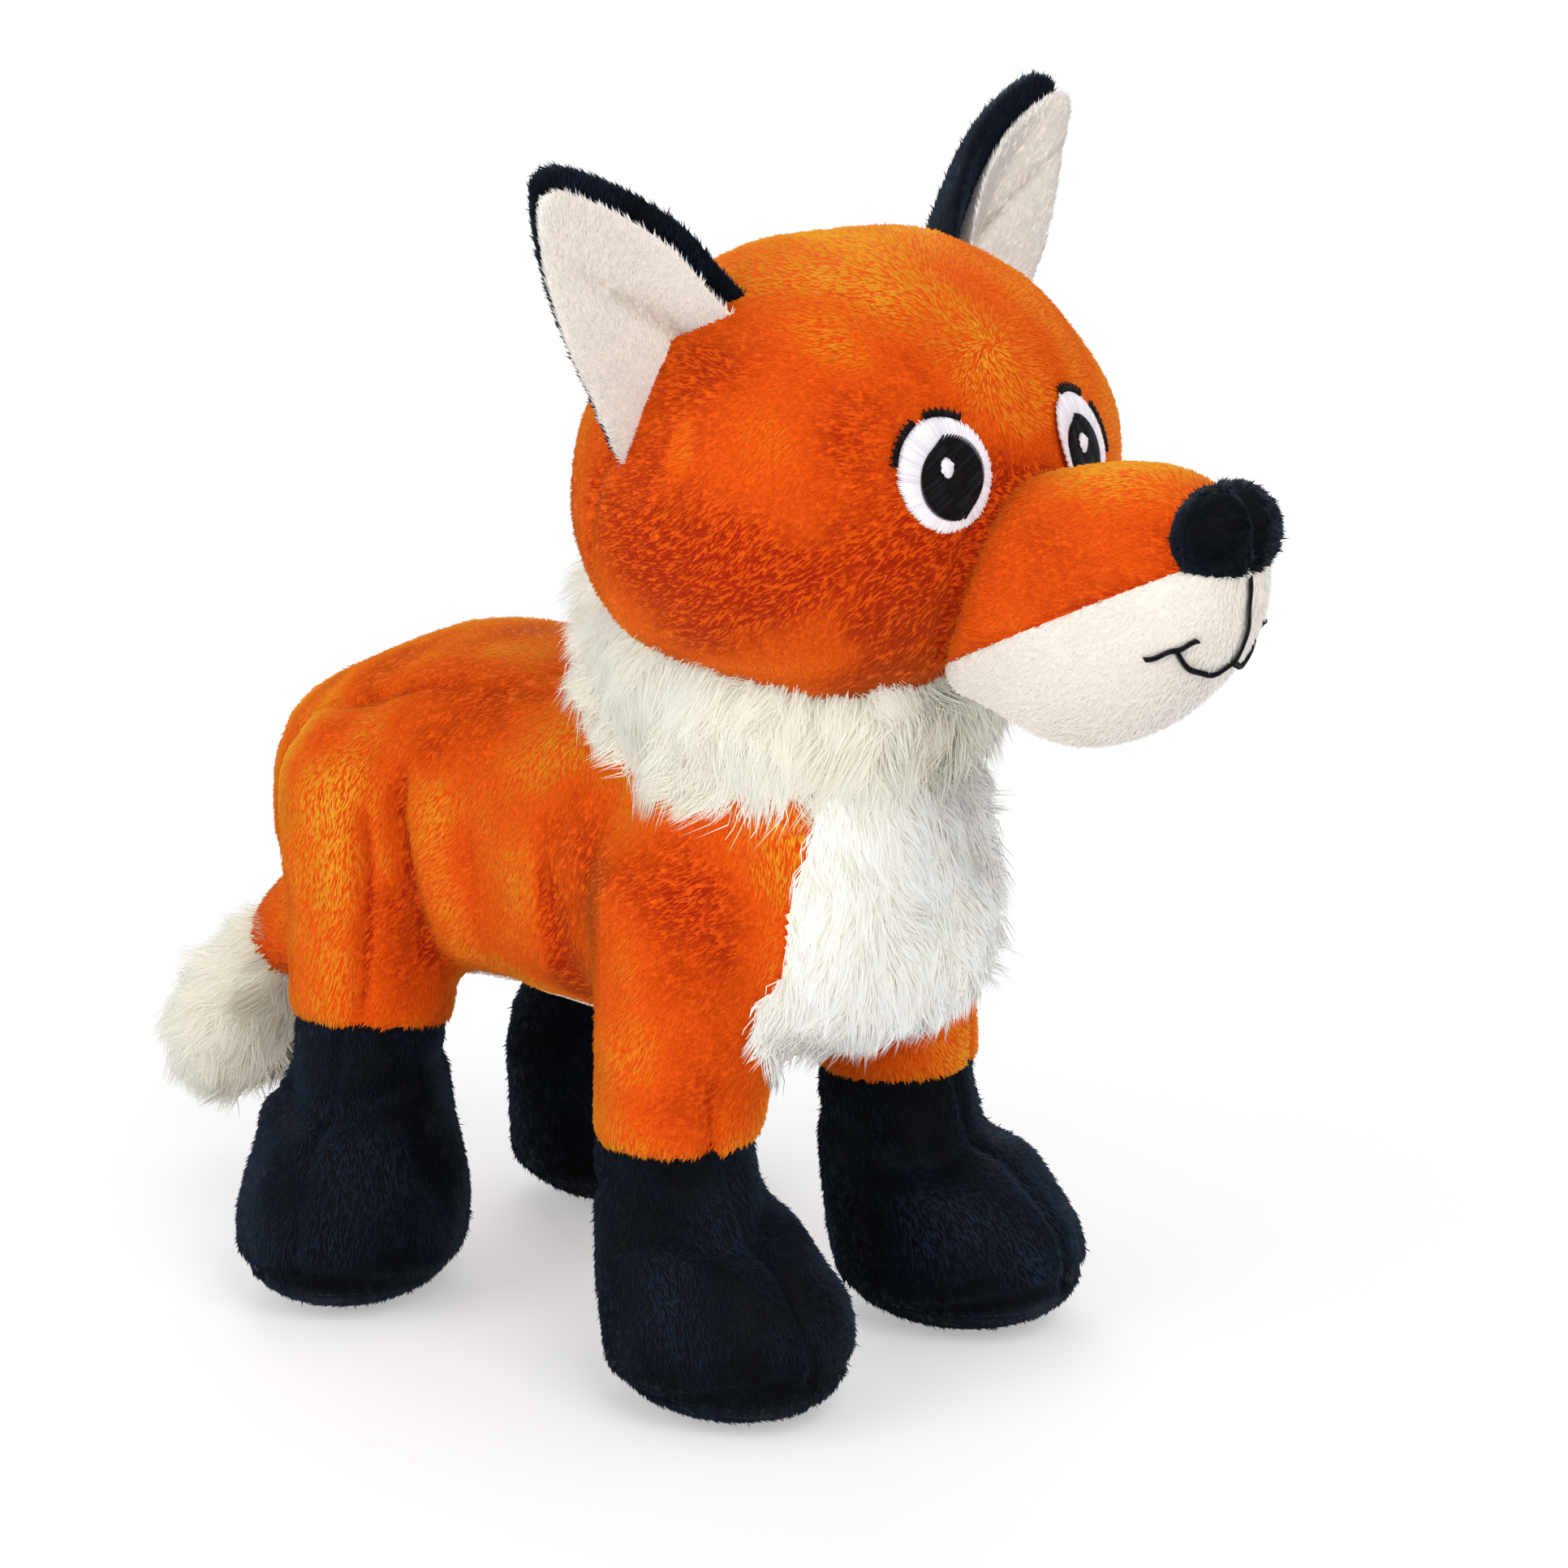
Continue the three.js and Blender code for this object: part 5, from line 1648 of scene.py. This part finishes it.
        angle = np.arange(0, 2 * math.pi, 2 * math.pi / 176)
        around = np.stack([np.cos(angle), np.sin(angle)], axis=1)
        ragged = 1 + rng.uniform(-0.025, 0.025, (len(angle), 1))
        satin("eye_white", around * pupil * 0.9 + shift, around * half * ragged, 0.9 * MM, white)
        rows = np.arange(-0.98, 0.99, 0.44 * MM / pupil[1])
        reach = np.sqrt(1 - rows**2)
        starts, ends = [], []
        for first, last in ((-1.0, -0.2), (-0.45, 0.45), (0.2, 1.0)):
            wobble = rng.uniform(-0.06, 0.06, len(rows))
            for side_ends, place in ((starts, first), (ends, last)):
                ragged_place = place + (wobble if abs(place) < 1 else 0)
                side_ends.append(np.stack([reach * ragged_place, rows + 0.1 * place], axis=1))
        first, last = (np.vstack(places) * pupil + shift for places in (starts, ends))
        satin("eye_pupil", first, last, 1.35 * MM, black)
        place = np.arange(-1.0, 1.01, 0.25)[:, None]
        middle = shift + np.array([-0.4, 3.0]) * MM
        tall = np.sqrt(np.clip(1.05 - place**2, 0, None)) * np.array([0.35, 2.2]) * MM
        column = middle + place * np.array([1.5, 0.0]) * MM
        satin("eye_glint", column - tall, column + tall, 1.8 * MM, white)
        turn = np.concatenate([np.arange(*arc, 0.012) for arc in eye.lashes]) * math.pi
        edge = np.stack([np.cos(turn), np.sin(turn)], axis=1)
        long = np.where(np.arange(len(turn)) % 3 == 0, 1.9, 1.2)[:, None] * MM
        satin("eyelash", edge * (half - 0.3 * MM), edge * (half + long), 1.1 * MM, black)


@dataclass
class Ruff:
    """The collar of long pile between the head and the torso, and the filling of the neck.

    Attributes:
        bottom_z: Its lower end.
        top_z: Its upper end.
        middle_y: Its middle, front to back.
        half_width: Its radius.
        extra: How much longer the pile is along the lower edge in front, as a share.
    """

    bottom_z: float = 134 * MM
    top_z: float = 203 * MM
    middle_y: float = -45 * MM
    half_width: float = 47 * MM
    extra: float = 0.7

    def stretch(self, p: np.ndarray) -> np.ndarray:
        """How many times longer the pile is: more along the lower edge in front."""
        front = smoothstep(self.middle_y + 10 * MM, self.middle_y - 38 * MM, p[:, 1])
        return 1 + self.extra * front * falling(138, 156, p[:, 2])

    def build(self, shop: Workshop) -> None:
        """Makes the ruff's cloth and pile, and the wad in the neck."""
        low, high = (np.array([0, self.middle_y, z]) for z in (self.bottom_z, self.top_z))
        skin = round_form(low, high, self.half_width, (0.84, 0.93, 1, 1, 0.92), 0.3).skin(48, 96)
        ivory = shop.finishes.ivory
        shop.piece("ruff_cloth", skin, ivory, Body.HEAD, ("ruff",))
        p = skin.points
        out = unit(np.stack([p[:, 0], p[:, 1] - self.middle_y, 0 * p[:, 0]], axis=1))
        lie = out * 0.2 + Y * 0.55 - Z
        centres = skin.centres()
        tilt = (centres[:, 1] - self.middle_y) * 0.3
        share = ((centres[:, 2] - tilt > 148 * MM) & (centres[:, 2] < 196 * MM)).astype(float)
        for seed, (name, mask) in enumerate((("right", centres[:, 0] < 0), ("left", centres[:, 0] >= 0))):
            pile = pile_skin(skin, LONG, lie, share * mask, 400 + 3 * seed, stretch=self.stretch)
            shop.piece(f"ruff_pile_{name}", pile, ivory, Body.HEAD)
        low, high = (NECK + Z * height * MM for height in (36, 43))
        wad = round_form(low, high, 26 * MM, (1, 1, 1), 0.5).skin(12, 36)
        shop.piece("neck_wad", wad, ivory, Body.NECK, ("neck_filling",), Slot.STUFFING)


@dataclass
class Ears:
    """The two ears: a black back and a cream lining, cupped over a slanting foot. Places are the left ear's.

    Attributes:
        foot_front: The front end of the foot.
        foot_rear: Its rear end.
        tip: The ear's tip.
        bow: How far a bend share of 1 moves it.
        half_width: Half its width at the foot.
        cup: How deep it is cupped.
        valley: Where across the cup is deepest, from -1 to 1.
        fold: How sharp the cup is there, less being sharper.
        sink: How far its cloths reach into the head.
        twist: How far the tip is turned out of level, in degrees.
    """

    foot_front: np.ndarray = millimetres(38, -74, 257)
    foot_rear: np.ndarray = millimetres(62, -47, 224)
    tip: np.ndarray = millimetres(84, -50, 295)
    bow: np.ndarray = millimetres(1.5, 4, 4)
    half_width: float = 24.5 * MM
    cup: float = 12 * MM
    valley: float = -0.3
    fold: float = 0.62
    sink: float = 7 * MM
    twist: float = 27

    @property
    def foot(self) -> np.ndarray:
        """The middle of the foot."""
        return (self.foot_front + self.foot_rear) / 2

    @property
    def up(self) -> np.ndarray:
        """The direction from the foot to the tip."""
        return unit(self.tip - self.foot)

    @property
    def across(self) -> np.ndarray:
        """The direction along the foot, towards its rear end."""
        return unit(self.foot_rear - self.foot_front)

    def spot(self, p: np.ndarray) -> tuple[np.ndarray, np.ndarray, np.ndarray]:
        """How far up each place lies, from 0 to 1, how far across, and half the ear's width there."""
        tall = np.clip((p - self.foot) @ self.up / np.linalg.norm(self.tip - self.foot), 0, 1)
        return tall, (p - self.foot) @ self.across, self.half_width * (1 - 0.75 * tall**1.3)

    def sheet(self, thickness: float, rim: float, shift: float, aside: float = 0.0) -> Swell:
        """One of the ear's two cloths, as a thin cupped form.

        Args:
            thickness: How thick it is.
            rim: How much narrower and shorter than the ear it is.
            shift: How far behind the ear's own sheet it lies.
            aside: How far towards the rear end it lies.
        """
        face = unit(np.cross(self.up, self.across))
        top = np.array([math.cos(math.radians(self.twist)), 0, -math.sin(math.radians(self.twist))])
        rows = [(1.3, 1, 0), (0.91, 1, 0.8), (0.76, 1, 1), (0.54, 1, 0.75), (0.26, 1, 0)]
        start = self.foot - self.up * self.sink + face * (shift + self.cup) + self.across * aside
        end = self.tip - self.up * rim + face * shift + self.across * aside
        return Swell(
            start, end, self.half_width - rim, thickness / 2, self.across, rows, 0.42, bend=self.bow,
            cup=-self.cup, valley=self.valley, fold=self.fold, cupped=self.half_width, turn_to=top,
        )

    def build(self, shop: Workshop) -> None:
        """Makes both ears."""
        for name, side in SIDES:
            self.ear(shop, name, side)

    def crease(self, p: np.ndarray) -> np.ndarray:
        """1 along the lining's fold, fading with the distance from it and towards the tip."""
        tall, aside, half = self.spot(p)
        return groove(aside / half - self.valley, 0.12) * (1 - tall)

    def light(self, p: np.ndarray) -> np.ndarray:
        """How much lighter the lining's pile is: lighter overall, with painted shade along the fold."""
        return 0.3 - 1.1 * self.crease(p)

    def uncovered(self, skin: Skin) -> np.ndarray:
        """1 for the back cloth's triangles that the lining leaves in the open, and 0 for those under it."""
        tall, aside, half = self.spot(skin.centres())
        inner = unit(skin.crosses()) @ np.cross(self.up, self.across) < -0.2
        return 1.0 - (inner & (np.abs(aside) < half - 4 * MM) & (tall < 0.9))

    def ear(self, shop: Workshop, name: str, side: float) -> None:
        """One ear: its back, its lining and their pile, sewn to the head."""
        back = self.sheet(8.5 * MM, 0.0, 2.6 * MM).skin(64, 96)
        lining = self.sheet(4.4 * MM, 2.8 * MM, -3.0 * MM, 1.5 * MM).skin(64, 96)
        foot, up = self.foot, self.up
        black, cream = shop.finishes.black, shop.finishes.cream
        for skin, finish, label, pile, seed in (
            (back, black, "back", SOCK_PILE, 500),
            (lining, cream, "lining", LINING_PILE, 510),
        ):
            lie = unit(up + 0.6 * unit(skin.points - (foot + up * 20 * MM)))
            share = self.uncovered(skin) if finish is black else np.ones(len(skin.faces))
            skin = skin.raised(-2 * MM * self.crease(skin.points) if finish is cream else 0.0)
            fur = pile_skin(skin, pile, lie, share, seed, light=self.light if finish is cream else None)
            for kind, part in (("cloth", skin), ("pile", fur)):
                flip = np.array([side, 1, 1])
                faces = part.faces if side > 0 else part.faces[:, ::-1]
                shade = None if part.shade is None else part.shade * flip
                turned = Skin(part.points * flip, faces, part.uv, shade)
                nodes = (f"ear_{label}_{name}",) if kind == "cloth" else ()
                piece = shop.piece(f"ear_{label}_{kind}_{name}", turned, finish, None, nodes)
                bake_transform(piece)


@dataclass
class Tail:
    """The tail: a short orange root and a brush of long cream pile.

    Attributes:
        pivot: Where it is sewn to the rump.
        bend: Where the root meets the brush.
        tip: The brush's end.
        root_radius: The root's radius.
        tip_radius: The brush's radius.
    """

    pivot: np.ndarray = millimetres(0, 112, 78)
    bend: np.ndarray = millimetres(0, 134, 60)
    tip: np.ndarray = millimetres(0, 164, 22)
    root_radius: float = 13 * MM
    tip_radius: float = 13 * MM

    def build(self, shop: Workshop) -> None:
        """Makes the root, at the rump, and the brush, at the root's end."""
        down = unit(self.bend - self.pivot)
        start, end = self.pivot - down * 14 * MM, self.bend + down * 5 * MM
        root = round_form(start, end, self.root_radius, (0.95, 1, 0.96), 0.5).skin(40, 48)
        orange, ivory = shop.finishes.orange, shop.finishes.ivory
        nodes = ("tail_root_skin", "tail_root_filling")
        piece = shop.piece("tail_root_cloth", root, orange, None, nodes)
        lie = root.lie(down)
        fur = pile_skin(root, SHORT, lie, np.ones(len(root.faces)), 600)
        fur = shop.piece("tail_root_pile", fur, orange, None)
        for part in (piece, fur):
            ends = (shop.at(self.pivot + down * h) for h in (-6 * MM, 6 * MM))
            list(ends)
            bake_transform(part)
        along = unit(self.tip - self.bend)
        start = self.bend - along * 8 * MM
        brush = round_form(start, self.tip, self.tip_radius, (0.62, 0.86, 1.1, 1.05), 0.6).skin(48, 64)
        nodes = ("tail_tip_skin", "tail_tip_filling")
        piece = shop.piece("tail_tip_cloth", brush, ivory, None, nodes)
        lie = brush.lie(along)
        fur = pile_skin(brush, LONG, lie, np.ones(len(brush.faces)), 610)
        fur = shop.piece("tail_tip_pile", fur, ivory, None)
        for part in (piece, fur):
            ends = (shop.at(self.bend + along * h) for h in (-6 * MM, 6 * MM))
            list(ends)
            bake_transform(part)


def placed(place: np.ndarray, back: np.ndarray) -> Matrix:
    """The matrix of a lamp or camera at a place, facing away from the direction back, and upright.

    Args:
        place: Where it is.
        back: The direction behind it.
    """
    right = unit(np.cross(Z, back))
    matrix = np.eye(4)
    matrix[:3, 0], matrix[:3, 1], matrix[:3, 2], matrix[:3, 3] = right, np.cross(back, right), back, place
    return Matrix(matrix.tolist())


@dataclass
class Studio:
    """The pale floor, the soft light and the camera at the photograph's angle.

    Attributes:
        azimuth: How far round the fox the camera stands.
        elevation: How far above the level it looks from.
        eye: Where it stands.
        focal_share: Its focal length, as a share of the frame's width.
        ambient: The strength of the world's own light.
        lamps: Each lamp's name, place, size and power.
        floor_half: Half the floor's width.
        around: The order of its corners.
        shaded: How far from the middle the floor keeps its shadows in full, and where they end.
        whitened: How white the floor is even there.
    """

    azimuth: float = math.radians(-46.522)
    elevation: float = math.radians(16.451)
    eye: np.ndarray = millimetres(-1021.6, -1011.0, 553.9)
    focal_share: float = 7713 / 1932
    ambient: float = 0.55
    lamps: tuple[tuple[str, tuple[float, float, float], float, float], ...] = (
        ("key", (-0.5, -1.5, 1.7), 1.3, 22.0),
        ("fill", (-1.6, 0.5, 0.9), 1.5, 15.0),
        ("back", (0.9, 1.1, 1.3), 1.2, 12.0),
    )
    floor_half: float = 3.0
    around: tuple[tuple[int, int], ...] = ((-1, -1), (1, -1), (1, 1), (-1, 1))
    shaded: tuple[float, float] = (0.08, 0.26)
    whitened: float = 0.4

    def build(self, shop: Workshop) -> None:
        """Makes the floor, the world, the lamps and the camera."""
        self.floor()
        self.world()
        for name, place, size, power in self.lamps:
            self.lamp(name, np.array(place), size, power)
        self.camera(shop)

    def floor(self) -> None:
        """A wide pale floor under the soles."""
        mesh = bpy.data.meshes.new("floor")
        corners = [(x * self.floor_half, y * self.floor_half, 0) for x, y in self.around]
        mesh.from_pydata(corners, [], [(0, 1, 2, 3)])
        floor = linked("floor", mesh)
        material = bpy.data.materials.new("pale_floor")
        material.use_nodes = True
        tree = material.node_tree
        main = tree.nodes["Principled BSDF"]
        preset(main, Base_Color=(0.95, 0.95, 0.95, 1), Roughness=1.0, Specular_IOR_Level=0.0)
        place = tree.nodes.new("ShaderNodeTexCoord")
        away = tree.nodes.new("ShaderNodeVectorMath")
        away.operation = "LENGTH"
        (near, far), share = self.shaded, tree.nodes.new("ShaderNodeMapRange")
        preset(share, From_Min=near, From_Max=far, To_Min=self.whitened)
        plain = tree.nodes.new("ShaderNodeEmission")
        blend = tree.nodes.new("ShaderNodeMixShader")
        seen = tree.nodes.new("ShaderNodeMath")
        seen.operation = "MULTIPLY"
        tree.links.new(self.seen(tree), seen.inputs[1])
        wire(
            tree,
            (place, "Object", away, 0), (away, "Value", share, "Value"), (share, "Result", seen, 0),
            (seen, "Value", blend, "Fac"), (main, "BSDF", blend, 1), (plain, "Emission", blend, 2),
            (blend, "Shader", tree.nodes["Material Output"], "Surface"),
        )
        mesh.materials.append(material)

    def world(self) -> None:
        """A soft white world, which the camera sees as plain white."""
        world = bpy.data.worlds.new("studio")
        bpy.context.scene.world = world
        world.use_nodes = True
        tree = world.node_tree
        light = preset(tree.nodes["Background"], Color=(1, 1, 1, 1))
        strength = preset(tree.nodes.new("ShaderNodeMapRange"), To_Min=self.ambient, To_Max=1.0)
        tree.links.new(self.seen(tree), strength.inputs["Value"])
        tree.links.new(strength.outputs["Result"], light.inputs["Strength"])

    def seen(self, tree: bpy.types.NodeTree) -> bpy.types.NodeSocket:
        """A value that is 1 for what the camera sees, also in gloss and through glass, and 0 for lighting."""
        path = tree.nodes.new("ShaderNodeLightPath")
        value = path.outputs["Is Camera Ray"]
        for name in ("Is Glossy Ray", "Is Transmission Ray"):
            most = tree.nodes.new("ShaderNodeMath")
            most.operation = "MAXIMUM"
            tree.links.new(value, most.inputs[0])
            tree.links.new(path.outputs[name], most.inputs[1])
            value = most.outputs["Value"]
        return value

    def lamp(self, name: str, place: np.ndarray, size: float, power: float) -> None:
        """A soft square lamp that faces the fox's middle."""
        data = bpy.data.lights.new(name, "AREA")
        data.shape = "SQUARE"
        data.size = size
        data.energy = power
        linked(name, data).matrix_world = placed(place, unit(place - np.array([0, 0, 0.15])))

    def camera(self, shop: Workshop) -> None:
        """The camera, from its place and angles, with the focal length as a share of the frame's width."""
        data = bpy.data.cameras.new("camera")
        data.sensor_width = 36.0
        data.lens = 36.0 * self.focal_share
        data.clip_start = 0.05
        camera = linked("camera", data)
        level, high = math.cos(self.elevation), math.sin(self.elevation)
        back = np.array([math.sin(self.azimuth) * level, -math.cos(self.azimuth) * level, high])
        camera.matrix_world = placed(self.eye + shop.offset, back)
        bpy.context.scene.camera = camera


def main() -> None:
    """Builds the studio, then the fox round its frame."""
    logging.basicConfig(level=logging.INFO, format="%(message)s")
    shop = Workshop()
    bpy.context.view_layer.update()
    Studio().build(shop)
    Torso().build(shop)
    Head().build(shop)
    Ruff().build(shop)
    Ears().build(shop)
    Tail().build(shop)
    bpy.context.scene.view_settings.view_transform = "Standard"
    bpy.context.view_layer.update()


if __name__ == "__main__":
    main()
